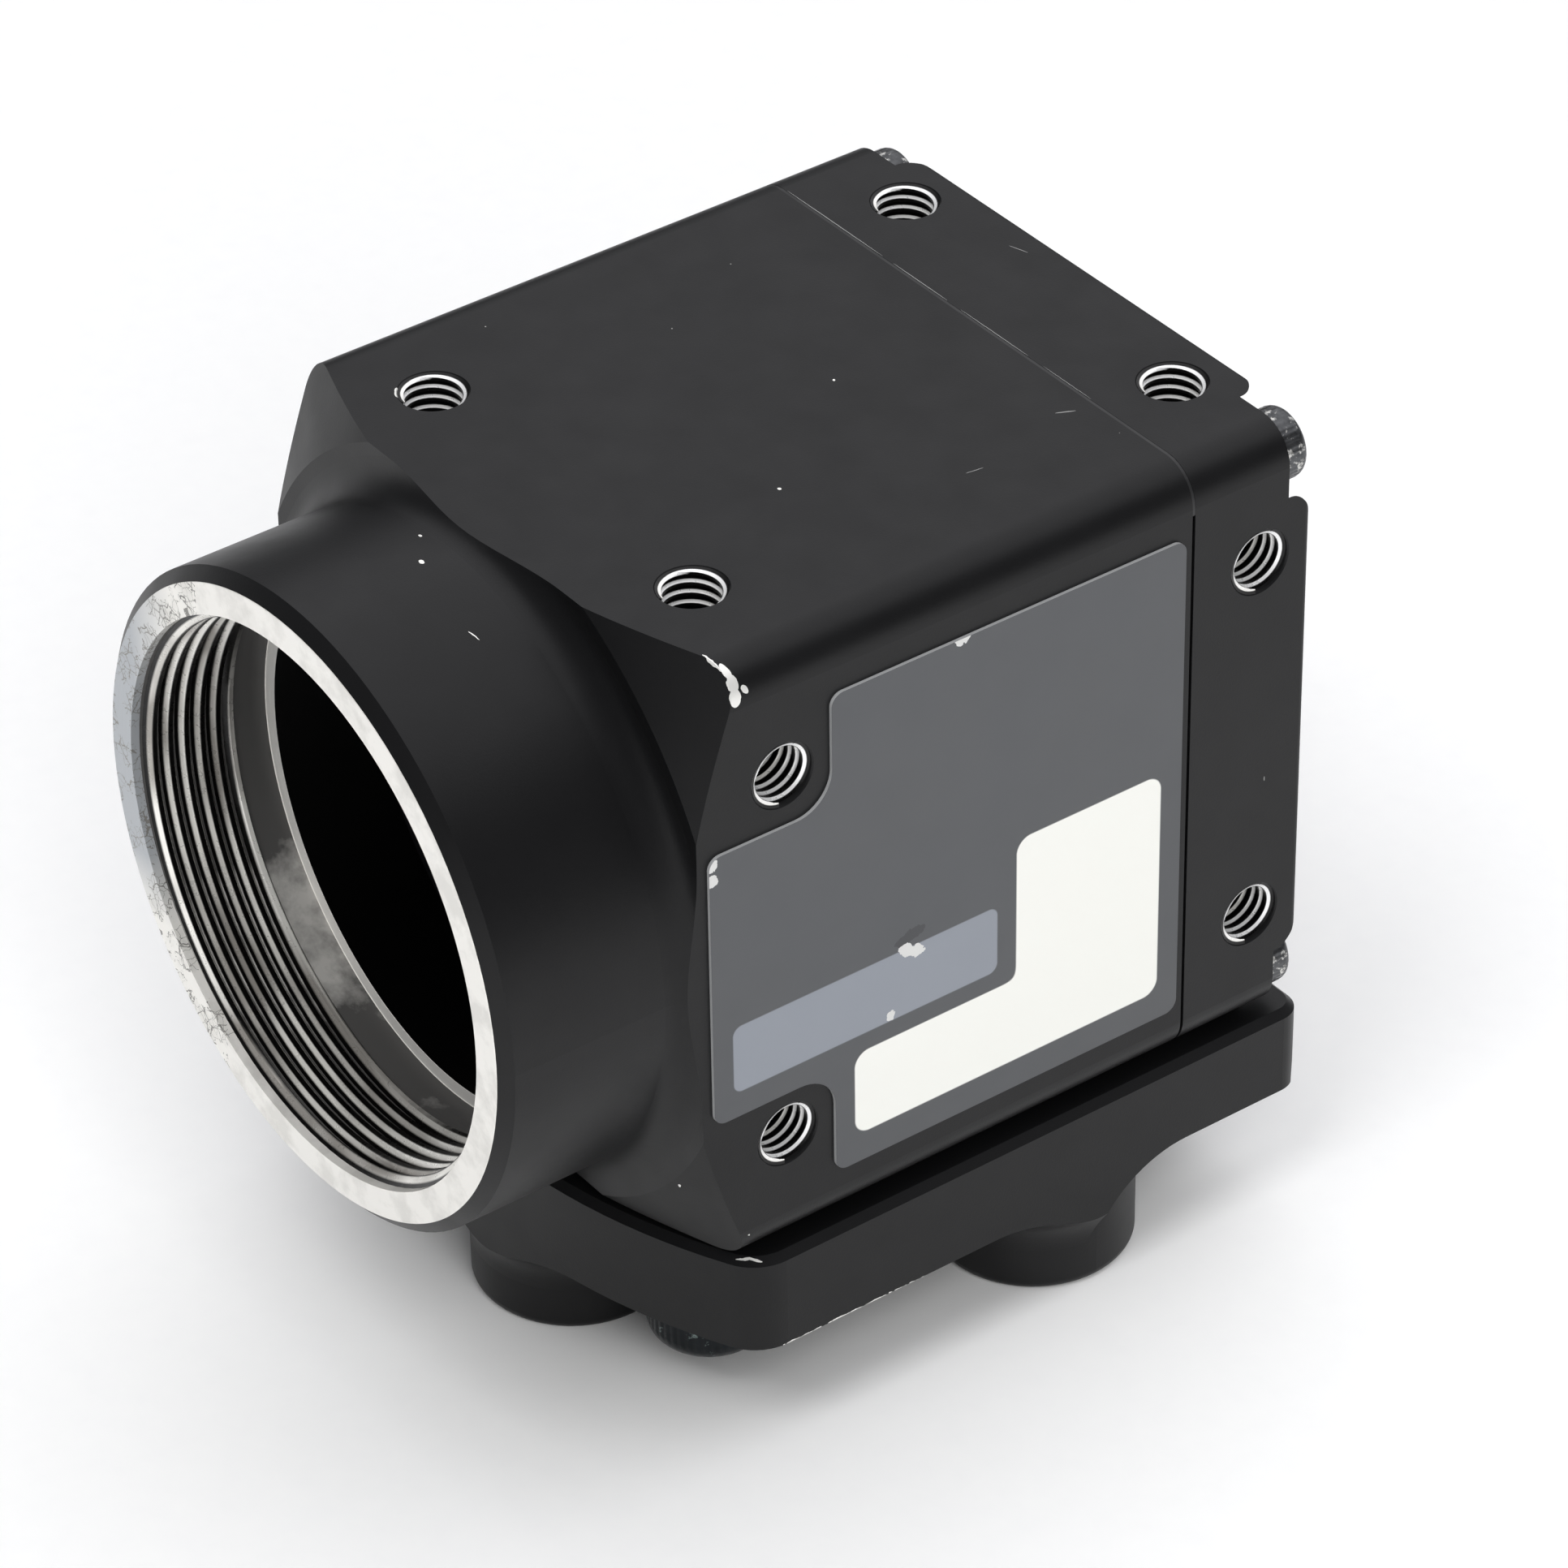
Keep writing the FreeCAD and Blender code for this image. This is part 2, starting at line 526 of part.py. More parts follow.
def board_screws():
    """Four cheese head screws that clamp the last board to the rear spacers."""
    placed = []
    for sx, sz in CORNERS:
        x, z = sx * SPACER_OFFSET, sz * SPACER_OFFSET
        back = CONNECTOR_BOARD_BACK_Y
        head = rod(BOARD_SCREW_HEAD_RADIUS, back, back + BOARD_SCREW_HEAD_HEIGHT, x, z)
        shank = rod(STUD_RADIUS, back - BOARD_THICKNESS - STUD_REACH, back, x, z)
        slot_floor = back + BOARD_SCREW_HEAD_HEIGHT / 2
        slot = block(2 * BOARD_SCREW_HEAD_RADIUS + OUTSIDE, 0.4, slot_floor, back + OUTSIDE, x, z)
        placed.append(head.fuse(shank).cut(slot).removeSplitter())
    return placed


def board_parts():
    """Links and the large chips, keyed by node name."""
    chip_back = MAIN_BOARD_Y
    processor = 2 * BOARD_HALF * PROCESSOR_SHARE
    memory_width, memory_height = 2 * BOARD_HALF * MEMORY_WIDTH_SHARE, 2 * BOARD_HALF * MEMORY_HEIGHT_SHARE
    inductor = 2 * BOARD_HALF * INDUCTOR_SHARE
    memory_z = LINK_OFFSET - LINK_HEIGHT / 2 - CHIP_GAP - memory_height / 2
    processor_z = memory_z - memory_height / 2 - CHIP_GAP - processor / 2
    return {
        "front_link": block(LINK_WIDTH, LINK_HEIGHT, SENSOR_BOARD_BACK_Y, MAIN_BOARD_Y, z=LINK_OFFSET),
        "rear_link": block(LINK_WIDTH, LINK_HEIGHT, MAIN_BOARD_BACK_Y, CONNECTOR_BOARD_Y, z=-LINK_OFFSET),
        "processor_chip": block(
            processor, processor, chip_back - PROCESSOR_THICKNESS, chip_back, z=processor_z),
        "memory_chip": block(memory_width, memory_height, chip_back - MEMORY_THICKNESS, chip_back, z=memory_z),
        "power_inductor": block(
            inductor, inductor, MAIN_BOARD_BACK_Y, MAIN_BOARD_BACK_Y + INDUCTOR_THICKNESS,
            z=LINK_OFFSET - LINK_HEIGHT - inductor / 2, corner=inductor / 7),
    }


def jack_parts():
    """Shield, moulded body with the plug's cavity, and the row of spring contacts."""
    front, back = CONNECTOR_BOARD_BACK_Y, JACK_BACK_Y
    body_width = JACK_WIDTH - 2 * JACK_SHIELD_WALL
    body_height = JACK_HEIGHT - 2 * JACK_SHIELD_WALL
    body = block(body_width, body_height, front, back, z=JACK_Z)
    shield = block(JACK_WIDTH, JACK_HEIGHT, front, back, z=JACK_Z).cut(body)

    plug_z = JACK_Z + PLUG_Z_OFFSET
    plug_front = back - PLUG_DEPTH
    cavity = block(PLUG_WIDTH, PLUG_HEIGHT, plug_front, back + OUTSIDE, z=plug_z)
    latch_top = plug_z + PLUG_HEIGHT / 2
    for width, step in zip(LATCH_WIDTHS, LATCH_STEPS):
        latch = block(width, step + 0.2, plug_front, back + OUTSIDE, z=latch_top + step / 2 - 0.1)
        cavity = cavity.fuse(latch)
        latch_top += step
    screw_room = corner_rods(
        BOARD_SCREW_HEAD_RADIUS + FIT_CLEARANCE, front, front + BOARD_SCREW_HEAD_HEIGHT + FIT_CLEARANCE,
        SPACER_OFFSET)
    body = body.cut([cavity] + screw_room)
    shield = shield.cut(screw_room)

    wires = []
    floor_z = plug_z - PLUG_HEIGHT / 2
    for k in range(CONTACT_COUNT):
        x = (k - (CONTACT_COUNT - 1) / 2) * CONTACT_PITCH
        outline = [
            Vector(x, plug_front, floor_z + CONTACT_RISE),
            Vector(x, plug_front + CONTACT_RUN, floor_z),
            Vector(x, plug_front + CONTACT_RUN + 0.8, floor_z),
            Vector(x, plug_front, floor_z + CONTACT_RISE + 0.35),
        ]
        wire = Part.Face(Part.makePolygon(outline + outline[:1])).extrude(Vector(CONTACT_THICKNESS, 0, 0))
        wire.translate(Vector(-CONTACT_THICKNESS / 2, 0, 0))
        wires.append(wire)
    return shield, body, Part.makeCompound(wires)


def socket_parts():
    """Shell with its inner flange, insert with the contact ways, and the ring nut outside."""
    back = COVER_BACK_Y + SOCKET_PROUD
    flange_back = COVER_BACK_Y - COVER_BACK_WALL
    flange_front = flange_back - SOCKET_FLANGE_THICKNESS
    front = flange_front - (SOCKET_BODY_LENGTH - SOCKET_FLANGE_THICKNESS)
    front = max(front, CONNECTOR_BOARD_BACK_Y)
    shell = turned([
        (SOCKET_RADIUS - SOCKET_WALL, front),
        (SOCKET_RADIUS, front),
        (SOCKET_RADIUS, flange_front),
        (SOCKET_RADIUS + SOCKET_FLANGE, flange_front),
        (SOCKET_RADIUS + SOCKET_FLANGE, flange_back),
        (SOCKET_RADIUS, flange_back),
        (SOCKET_RADIUS, back),
        (SOCKET_RADIUS - SOCKET_WALL, back),
    ], SOCKET_X, SOCKET_Z)
    inner = SOCKET_RADIUS - SOCKET_WALL
    insert_back = back - SOCKET_WALL
    groove_floor = insert_back - SOCKET_WAY_DEPTH
    insert = turned([
        (0, CONNECTOR_BOARD_BACK_Y),
        (inner - SOCKET_GROOVE, CONNECTOR_BOARD_BACK_Y),
        (inner - SOCKET_GROOVE, front),
        (inner, front),
        (inner, groove_floor),
        (inner - SOCKET_GROOVE, groove_floor),
        (inner - SOCKET_GROOVE, insert_back),
        (0, insert_back),
    ], SOCKET_X, SOCKET_Z)
    ways = []
    for k in range(SOCKET_WAYS):
        angle = 2 * math.pi * k / SOCKET_WAYS
        x = SOCKET_X + SOCKET_WAY_CIRCLE * math.cos(angle)
        z = SOCKET_Z + SOCKET_WAY_CIRCLE * math.sin(angle)
        ways.append(rod(SOCKET_WAY_RADIUS, groove_floor, insert_back + OUTSIDE, x, z))
    nut = rod(SOCKET_NUT_RADIUS, COVER_BACK_Y, COVER_BACK_Y + SOCKET_NUT_THICKNESS, SOCKET_X, SOCKET_Z)
    nut = nut.cut(rod(SOCKET_RADIUS + THREAD_PLAY, COVER_BACK_Y, COVER_BACK_Y + OUTSIDE, SOCKET_X, SOCKET_Z))
    return shell, insert.cut(ways), nut


def lamp_parts():
    """Status lamp on the last board, and the light pipe from it to the back face."""
    led_back = CONNECTOR_BOARD_BACK_Y + LED_THICKNESS
    led = block(LED_SIZE, LED_SIZE, CONNECTOR_BOARD_BACK_Y, led_back, LAMP_X, LAMP_Z)
    return led, rod(LIGHT_PIPE_RADIUS, led_back, COVER_BACK_Y, LAMP_X, LAMP_Z)


def label_plate():
    """Thin plate on the right side, notched round the two front holes."""
    half = LABEL_HEIGHT / 2
    notch_y = MOUNT_FRONT_Y + M3_RADIUS + LABEL_HOLE_MARGIN
    notch_z = MOUNT_HALF - M3_RADIUS - LABEL_HOLE_MARGIN
    upper = [(LABEL_FRONT_Y, notch_z), (notch_y, notch_z), (notch_y, half), (LABEL_BACK_Y, half)]
    outline = upper + [(y, -z) for y, z in reversed(upper)]
    corners = [Vector(HALF, y, z - LABEL_DROP) for y, z in outline]
    sheet = Part.Face(Part.makePolygon(corners + corners[:1])).extrude(Vector(LABEL_THICKNESS, 0, 0))
    across = [e for e in sheet.Edges if abs(e.tangentAt(e.FirstParameter).x) > 0.99]
    inner = [e for e in across if abs(e.Vertexes[0].Y - notch_y) < 1e-6 and abs(e.Vertexes[0].Z + LABEL_DROP) < half - 1e-6]
    sheet = sheet.makeFillet(LABEL_NOTCH_CORNER, inner)
    across = [e for e in sheet.Edges if abs(e.tangentAt(e.FirstParameter).x) > 0.99]
    outer = [e for e in across if any(e.Vertexes[0].Point.distanceToPoint(c) < LABEL_THICKNESS + 1e-6 for c in corners)]
    return sheet.makeFillet(LABEL_CORNER, outer)


def base_outline(z0, z1):
    """Plan of the base: bowed front edge, straight sides, rounded corners."""
    side_y = BASE_FRONT_Y + BASE_BOW_RADIUS - math.sqrt(BASE_BOW_RADIUS ** 2 - HALF ** 2)
    left, right = Vector(-HALF, side_y, z0), Vector(HALF, side_y, z0)
    back_left, back_right = Vector(-HALF, BASE_BACK_Y, z0), Vector(HALF, BASE_BACK_Y, z0)
    wire = Part.Wire([
        Part.Arc(left, Vector(0, BASE_FRONT_Y, z0), right).toShape(),
        Part.makeLine(right, back_right),
        Part.makeLine(back_right, back_left),
        Part.makeLine(back_left, left),
    ])
    plan = Part.Face(wire).extrude(Vector(0, 0, z1 - z0))
    upright = [e for e in plan.Edges if abs(e.tangentAt(e.FirstParameter).z) > 0.99]
    middle_y = (BASE_FRONT_Y + BASE_BACK_Y) / 2
    plan = plan.makeFillet(BASE_BACK_CORNER, [e for e in upright if e.Vertexes[0].Y > middle_y])
    upright = [e for e in plan.Edges if abs(e.tangentAt(e.FirstParameter).z) > 0.99]
    return plan.makeFillet(BASE_FRONT_CORNER, [e for e in upright if e.Vertexes[0].Y < middle_y])


def below_plate(outline, x, y):
    """Solid turned about an upright axis at (x, y), from (radius, depth) points under the plate."""
    shape = turned(outline)
    shape.rotate(Vector(), Vector(1, 0, 0), -90)
    shape.translate(Vector(x, y, BASE_BOTTOM_Z))
    return shape


def foot(x, y):
    """Round foot with a softened lower edge, rooted in the plate."""
    edge = FOOT_EDGE_ROUND * (1 - math.sqrt(0.5))
    return below_plate([
        (0, -BASE_THICKNESS / 2),
        (FOOT_RADIUS, -BASE_THICKNESS / 2),
        (FOOT_RADIUS, FOOT_HEIGHT - FOOT_EDGE_ROUND),
        (FOOT_RADIUS - FOOT_EDGE_ROUND, FOOT_HEIGHT, FOOT_RADIUS - edge, FOOT_HEIGHT - edge),
        (0, FOOT_HEIGHT),
    ], x, y)


def foot_flare(x, y):
    """Concave flare that blends a foot into the plate."""
    flare = FOOT_FLARE * (1 - math.sqrt(0.5))
    return below_plate([
        (0, -BASE_THICKNESS / 2),
        (FOOT_RADIUS + FOOT_FLARE, -BASE_THICKNESS / 2),
        (FOOT_RADIUS + FOOT_FLARE, 0),
        (FOOT_RADIUS, FOOT_FLARE, FOOT_RADIUS + flare, flare),
        (0, FOOT_FLARE),
    ], x, y)


def base_relief():
    """Cutter under the back of the base, ending forward in a wide concave round."""
    level = BASE_BOTTOM_Z + BASE_RELIEF
    back = BASE_BACK_Y + OUTSIDE
    slant = BASE_RELIEF_RADIUS * math.sqrt(0.5)
    points = [
        Vector(-HALF - OUTSIDE, BASE_RELIEF_Y - BASE_RELIEF_RADIUS, level - BASE_RELIEF_RADIUS),
        Vector(-HALF - OUTSIDE, BASE_RELIEF_Y - slant, level - BASE_RELIEF_RADIUS + slant),
        Vector(-HALF - OUTSIDE, BASE_RELIEF_Y, level),
        Vector(-HALF - OUTSIDE, back, level),
        Vector(-HALF - OUTSIDE, back, level - BASE_RELIEF_RADIUS),
    ]
    outline = Part.Wire([
        Part.Arc(*points[:3]).toShape(),
        Part.makeLine(points[2], points[3]),
        Part.makeLine(points[3], points[4]),
        Part.makeLine(points[4], points[0]),
    ])
    return Part.Face(outline).extrude(Vector(BODY_WIDTH + 2 * OUTSIDE, 0, 0))


def base_screw_seats():
    """Plan positions of the four base screws, each with the height of the face its head sits on."""
    seats = []
    for y in (MOUNT_FRONT_Y, MOUNT_REAR_Y):
        height = BASE_BOTTOM_Z + (BASE_RELIEF if y > BASE_RELIEF_Y else 0.0)
        seats += [(side * MOUNT_HALF, y, height) for side in (-1, 1)]
    return seats


def base_plate():
    plate = base_outline(BASE_BOTTOM_Z, BASE_TOP_Z)
    rim = [e for e in plate.Edges if e.BoundBox.ZMin > BASE_TOP_Z - 1e-6]
    plate = plate.makeChamfer(BASE_TOP_CHAMFER, rim)
    lean_top = BASE_TOP_Z - BASE_TOP_CHAMFER
    wedge = Part.Face(Part.makePolygon([
        Vector(-HALF - OUTSIDE, BASE_BACK_Y, lean_top),
        Vector(-HALF - OUTSIDE, BASE_BACK_Y + OUTSIDE, lean_top),
        Vector(-HALF - OUTSIDE, BASE_BACK_Y + OUTSIDE, BASE_BOTTOM_Z),
        Vector(-HALF - OUTSIDE, BASE_BACK_Y - BASE_BACK_LEAN, BASE_BOTTOM_Z),
        Vector(-HALF - OUTSIDE, BASE_BACK_Y, lean_top),
    ])).extrude(Vector(BODY_WIDTH + 2 * OUTSIDE, 0, 0))
    within = base_outline(FOOT_BOTTOM_Z - OUTSIDE, BASE_BOTTOM_Z + BASE_THICKNESS / 2)
    flares = [foot_flare(x, y).common(within) for x, y in FEET]
    plate = plate.fuse(flares).cut([base_relief(), wedge])
    feet = [foot(x, y) for x, y in FEET]
    seats = [post(BASE_SEAT_RADIUS, BASE_TOP_Z - OUTSIDE, -HALF, x, y) for x, y, _ in base_screw_seats()]
    holes = [
        post(M3_RADIUS + BASE_HOLE_CLEARANCE, BASE_BOTTOM_Z - OUTSIDE, -HALF + OUTSIDE, x, y)
        for x, y, _ in base_screw_seats()
    ]
    heads = [
        post(BASE_SCREW_HEAD_RADIUS + BASE_HEAD_CLEARANCE, FOOT_BOTTOM_Z - OUTSIDE, z, x, y)
        for x, y, z in base_screw_seats()
    ]
    tripod = post(TRIPOD_THREAD_RADIUS, BASE_BOTTOM_Z - OUTSIDE, BASE_TOP_Z + OUTSIDE, 0, TRIPOD_Y)
    mouth = Part.makeCone(
        TRIPOD_THREAD_RADIUS + TRIPOD_CHAMFER, TRIPOD_THREAD_RADIUS, TRIPOD_CHAMFER, Vector(0, TRIPOD_Y, BASE_BOTTOM_Z))
    return plate.fuse(feet + seats).cut(holes + heads + [tripod, mouth]).removeSplitter()


def base_screws():
    screw = cap_screw(
        BASE_SCREW_HEAD_RADIUS, BASE_SCREW_HEAD_HEIGHT, BASE_SCREW_HEAD_ROUND, BASE_SCREW_KEY,
        M3_RADIUS - THREAD_PLAY, BASE_SCREW_LENGTH)
    screw.rotate(Vector(), Vector(1, 0, 0), -90)
    placed = []
    for x, y, z in base_screw_seats():
        one = screw.copy()
        one.translate(Vector(x, y, z))
        placed.append(one)
    return placed


def numbered(name, shapes):
    """Names for repeated pieces, such as rear_screw_1."""
    return {f"{name}_{k + 1}": shape for k, shape in enumerate(shapes)}


def all_pieces():
    filter_seal, filter_glass, filter_ring = filter_stack()
    sensor_seal, sensor_package, sensor_die, sensor_glass = sensor_parts()
    jack_shield, jack_body, jack_contacts = jack_parts()
    socket_shell, socket_insert, socket_nut = socket_parts()
    status_led, light_pipe = lamp_parts()
    return {
        "front_housing": front_housing(),
        "rear_cover": rear_cover(),
        "cover_gasket": cover_gasket(),
        **numbered("rear_screw", cover_screws()),
        "base_plate": base_plate(),
        **numbered("base_screw", base_screws()),
        "label_plate": label_plate(),
        "filter_seal": filter_seal,
        "filter_glass": filter_glass,
        "filter_ring": filter_ring,
        "sensor_seal": sensor_seal,
        "sensor_package": sensor_package,
        "sensor_die": sensor_die,
        "sensor_glass": sensor_glass,
        "sensor_board": board(SENSOR_BOARD_Y),
        "main_board": board(MAIN_BOARD_Y),
        "connector_board": board(CONNECTOR_BOARD_Y),
        **numbered("front_spacer", spacers(SENSOR_BOARD_BACK_Y, FRONT_SPACER_LENGTH)),
        **numbered("rear_spacer", spacers(MAIN_BOARD_BACK_Y, REAR_SPACER_LENGTH)),
        **numbered("board_screw", board_screws()),
        **board_parts(),
        "jack_shield": jack_shield,
        "jack_body": jack_body,
        "jack_contacts": jack_contacts,
        "socket_shell": socket_shell,
        "socket_insert": socket_insert,
        "socket_nut": socket_nut,
        "status_led": status_led,
        "light_pipe": light_pipe,
    }


os.makedirs("parts", exist_ok=True)
for node, shape in all_pieces().items():
    shape.exportStep(f"parts/{node}.step")
    print(node, "valid" if shape.isValid() else "INVALID", round(shape.Volume, 2), len(shape.Solids))
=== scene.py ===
"""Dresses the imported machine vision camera: finishes, wear, threads, screws, studio and camera.

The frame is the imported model's, in metres: the origin is the centre of the lens mount's ring
face, +Y runs back along the optical axis, +X is the label side and +Z is up. Sizes in the
classes below are millimetres, as the real parts are dimensioned.
"""

from __future__ import annotations

import json
import logging
import math
from dataclasses import dataclass
from enum import Enum
from typing import Sequence

import bmesh
import bpy
from mathutils import Matrix, Vector

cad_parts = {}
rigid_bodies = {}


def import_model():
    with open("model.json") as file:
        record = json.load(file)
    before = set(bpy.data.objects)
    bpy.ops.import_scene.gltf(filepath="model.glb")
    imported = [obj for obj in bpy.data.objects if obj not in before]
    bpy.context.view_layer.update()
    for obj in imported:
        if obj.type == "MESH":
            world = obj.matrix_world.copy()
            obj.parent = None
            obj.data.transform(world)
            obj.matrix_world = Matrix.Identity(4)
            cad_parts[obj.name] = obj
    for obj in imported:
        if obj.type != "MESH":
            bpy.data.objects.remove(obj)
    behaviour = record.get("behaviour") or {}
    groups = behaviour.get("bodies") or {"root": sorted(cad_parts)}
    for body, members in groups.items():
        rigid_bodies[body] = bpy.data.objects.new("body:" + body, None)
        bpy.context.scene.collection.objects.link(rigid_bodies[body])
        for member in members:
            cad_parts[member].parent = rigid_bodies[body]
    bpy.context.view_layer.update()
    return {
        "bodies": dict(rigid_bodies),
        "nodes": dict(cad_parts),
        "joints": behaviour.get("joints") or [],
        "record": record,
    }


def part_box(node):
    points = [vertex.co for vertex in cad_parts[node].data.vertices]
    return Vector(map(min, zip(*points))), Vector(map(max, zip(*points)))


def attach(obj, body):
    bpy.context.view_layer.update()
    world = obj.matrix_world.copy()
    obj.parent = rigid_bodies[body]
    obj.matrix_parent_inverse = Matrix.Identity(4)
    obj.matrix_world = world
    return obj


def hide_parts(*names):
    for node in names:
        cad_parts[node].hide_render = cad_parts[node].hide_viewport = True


MM = 0.001
NOISE_LOW, NOISE_HIGH = 0.3, 0.7  # most of a noise's values lie between these
WELD = 1e-7
SHARP_ANGLE = math.radians(35)
Triple = tuple[float, float, float]
Colour = tuple[float, float, float, float]
Socket = bpy.types.NodeSocket
Look = dict[str, Socket]
log = logging.getLogger("vision_camera")


def linear(hex_colour: str) -> Colour:
    """Turns a display colour into a linear one.

    Args:
        hex_colour: sRGB hex such as "#3a3a3a".

    Returns:
        Linear red, green, blue and alpha.
    """
    values = [int(hex_colour[k : k + 2], 16) / 255 for k in (1, 3, 5)]
    red, green, blue = (v / 12.92 if v <= 0.04045 else ((v + 0.055) / 1.055) ** 2.4 for v in values)
    return red, green, blue, 1.0


def add_node(
        tree: bpy.types.NodeTree, kind: str, inputs: dict | None = None,
        **settings: object) -> bpy.types.Node:
    """Adds one shader node.

    Args:
        tree: the material's or world's node tree.
        kind: the node's type without "ShaderNode".
        inputs: socket name or number, each with a value or with an output socket to link.
        settings: the node's own properties.

    Returns:
        The new node.
    """
    node = tree.nodes.new("ShaderNode" + kind)
    for name, value in settings.items():
        setattr(node, name, value)
    for key, value in (inputs or {}).items():
        if isinstance(value, Socket):
            tree.links.new(value, node.inputs[key])
        else:
            node.inputs[key].default_value = value
    return node


class Surface:
    """A material being built: its tree, its shader and the object coordinates in millimetres."""

    def __init__(self, name: str) -> None:
        """Starts the material of that name with a bare shader."""
        self.material = bpy.data.materials.new(name)
        self.material.use_nodes = True
        self.tree = self.material.node_tree
        self.tree.nodes.clear()
        self.shader = self.add("BsdfPrincipled")
        self.add("OutputMaterial", {"Surface": self.shader.outputs[0]})
        place = self.add("TexCoord").outputs["Object"]
        self.mm = self.out("VectorMath", {0: place, "Scale": 1 / MM}, operation="SCALE")

    def add(self, kind: str, inputs: dict | None = None, **settings: object) -> bpy.types.Node:
        """Adds one node to this material."""
        return add_node(self.tree, kind, inputs, **settings)

    def out(self, kind: str, inputs: dict | None = None, **settings: object) -> Socket:
        """Adds one node to this material and returns its first output."""
        return self.add(kind, inputs, **settings).outputs[0]

    def link(self, socket: Socket, name: str) -> None:
        """Links a socket to the shader's input of that name."""
        self.tree.links.new(socket, self.shader.inputs[name])

    def shade(self, height: Socket, depth_mm: float, edge_mm: float) -> None:
        """Gives the shader its normal: slightly rounded edges, then the relief of the surface.

        Args:
            height: the relief's height from 0 to 1.
            depth_mm: how deep the relief is.
            edge_mm: radius that sharp edges seem to have; 0 leaves them sharp.
        """
        inputs = {"Height": height, "Distance": depth_mm * MM, "Strength": 1.0}
        if edge_mm > 0:
            inputs["Normal"] = self.out("Bevel", {"Radius": edge_mm * MM}, samples=4)
        self.link(self.out("Bump", inputs), "Normal")


@dataclass(frozen=True)
class Mark:
    """One worn spot: where it is, its half length, half width and half depth, and which way it runs."""

    place: Triple
    size: Triple
    along: Triple = (1.0, 0.0, 0.0)

    def mask(self, skin: Surface, place: Socket) -> Socket:
        """Adds the mark's mask, 1 inside it.

        Args:
            skin: the material.
            place: coordinates in millimetres, roughened so that the mark's edge is ragged.

        Returns:
            The mask's socket.
        """
        turn = Vector(self.along).to_track_quat("X", "Z").to_euler()
        inside = skin.add(
            "Mapping", {"Vector": place, "Location": self.place, "Rotation": turn, "Scale": self.size},
            vector_type="TEXTURE")
        reach = skin.add("VectorMath", {0: inside.outputs[0]}, operation="LENGTH")
        return skin.out("Math", {0: reach.outputs["Value"], 1: 1.0}, operation="LESS_THAN")


def any_of(skin: Surface, masks: Sequence[Socket]) -> Socket:
    """Joins masks into one.

    Args:
        skin: the material.
        masks: at least one mask.

    Returns:
        A mask that is 1 where any of them is.
    """
    joined = masks[0]
    for mask in masks[1:]:
        joined = skin.out("Math", {0: joined, 1: mask}, operation="MAXIMUM")
    return joined


def mix(
        skin: Surface, share: Socket, a: Socket | Colour | float, b: Socket | Colour | float,
        kind: str = "RGBA") -> Socket:
    """Mixes two colours or two numbers.

    Args:
        skin: the material.
        share: how much of b there is.
        a: colour or number where the share is 0.
        b: colour or number where the share is 1.
        kind: "RGBA" for colours, "FLOAT" for numbers.

    Returns:
        The mixture.
    """
    first = 6 if kind == "RGBA" else 2
    node = skin.add("Mix", {0: share, first: a, first + 1: b}, data_type=kind)
    return node.outputs[2 if kind == "RGBA" else 0]


@dataclass(frozen=True)
class Finish:
    """A material and the process that made its surface. Lengths are millimetres."""

    name: str
    colour: str
    roughness: float
    second: str = ""
    patch: float = 5.0
    grain: float = 0.12
    depth: float = 0.004
    spread: float = 0.06
    edge: float = 0.0
    metallic: float = 0.0
    specular: float = 0.5

    def tone(self, skin: Surface) -> Socket:
        """Base colour, wandering slowly between the two colours."""
        cloud = skin.add("TexNoise", {"Vector": skin.mm, "Scale": 1 / self.patch, "Detail": 4.0})
        return mix(skin, cloud.outputs[0], linear(self.colour), linear(self.second))

    def relief(self, skin: Surface) -> Socket:
        """Height of the fine grain."""
        return skin.out(
            "TexNoise", {"Vector": skin.mm, "Scale": 1 / self.grain, "Detail": 3.0})

    def gloss(self, skin: Surface) -> Socket:
        """Roughness, a little uneven as on a real surface."""
        uneven = skin.add("TexNoise", {"Vector": skin.mm, "Scale": 1 / (self.patch / 3), "Detail": 5.0})
        return skin.out("MapRange", {
            "Value": uneven.outputs[0], "From Min": NOISE_LOW, "From Max": NOISE_HIGH,
            "To Min": self.roughness - self.spread, "To Max": self.roughness + self.spread})

    def build(self) -> bpy.types.Material:
        """Builds the material and returns it."""
        skin = Surface(self.name)
        skin.shader.inputs["Metallic"].default_value = self.metallic
        skin.link(self.tone(skin), "Base Color")
        skin.link(self.gloss(skin), "Roughness")
        skin.shade(self.relief(skin), self.depth, self.edge)
        return skin.material


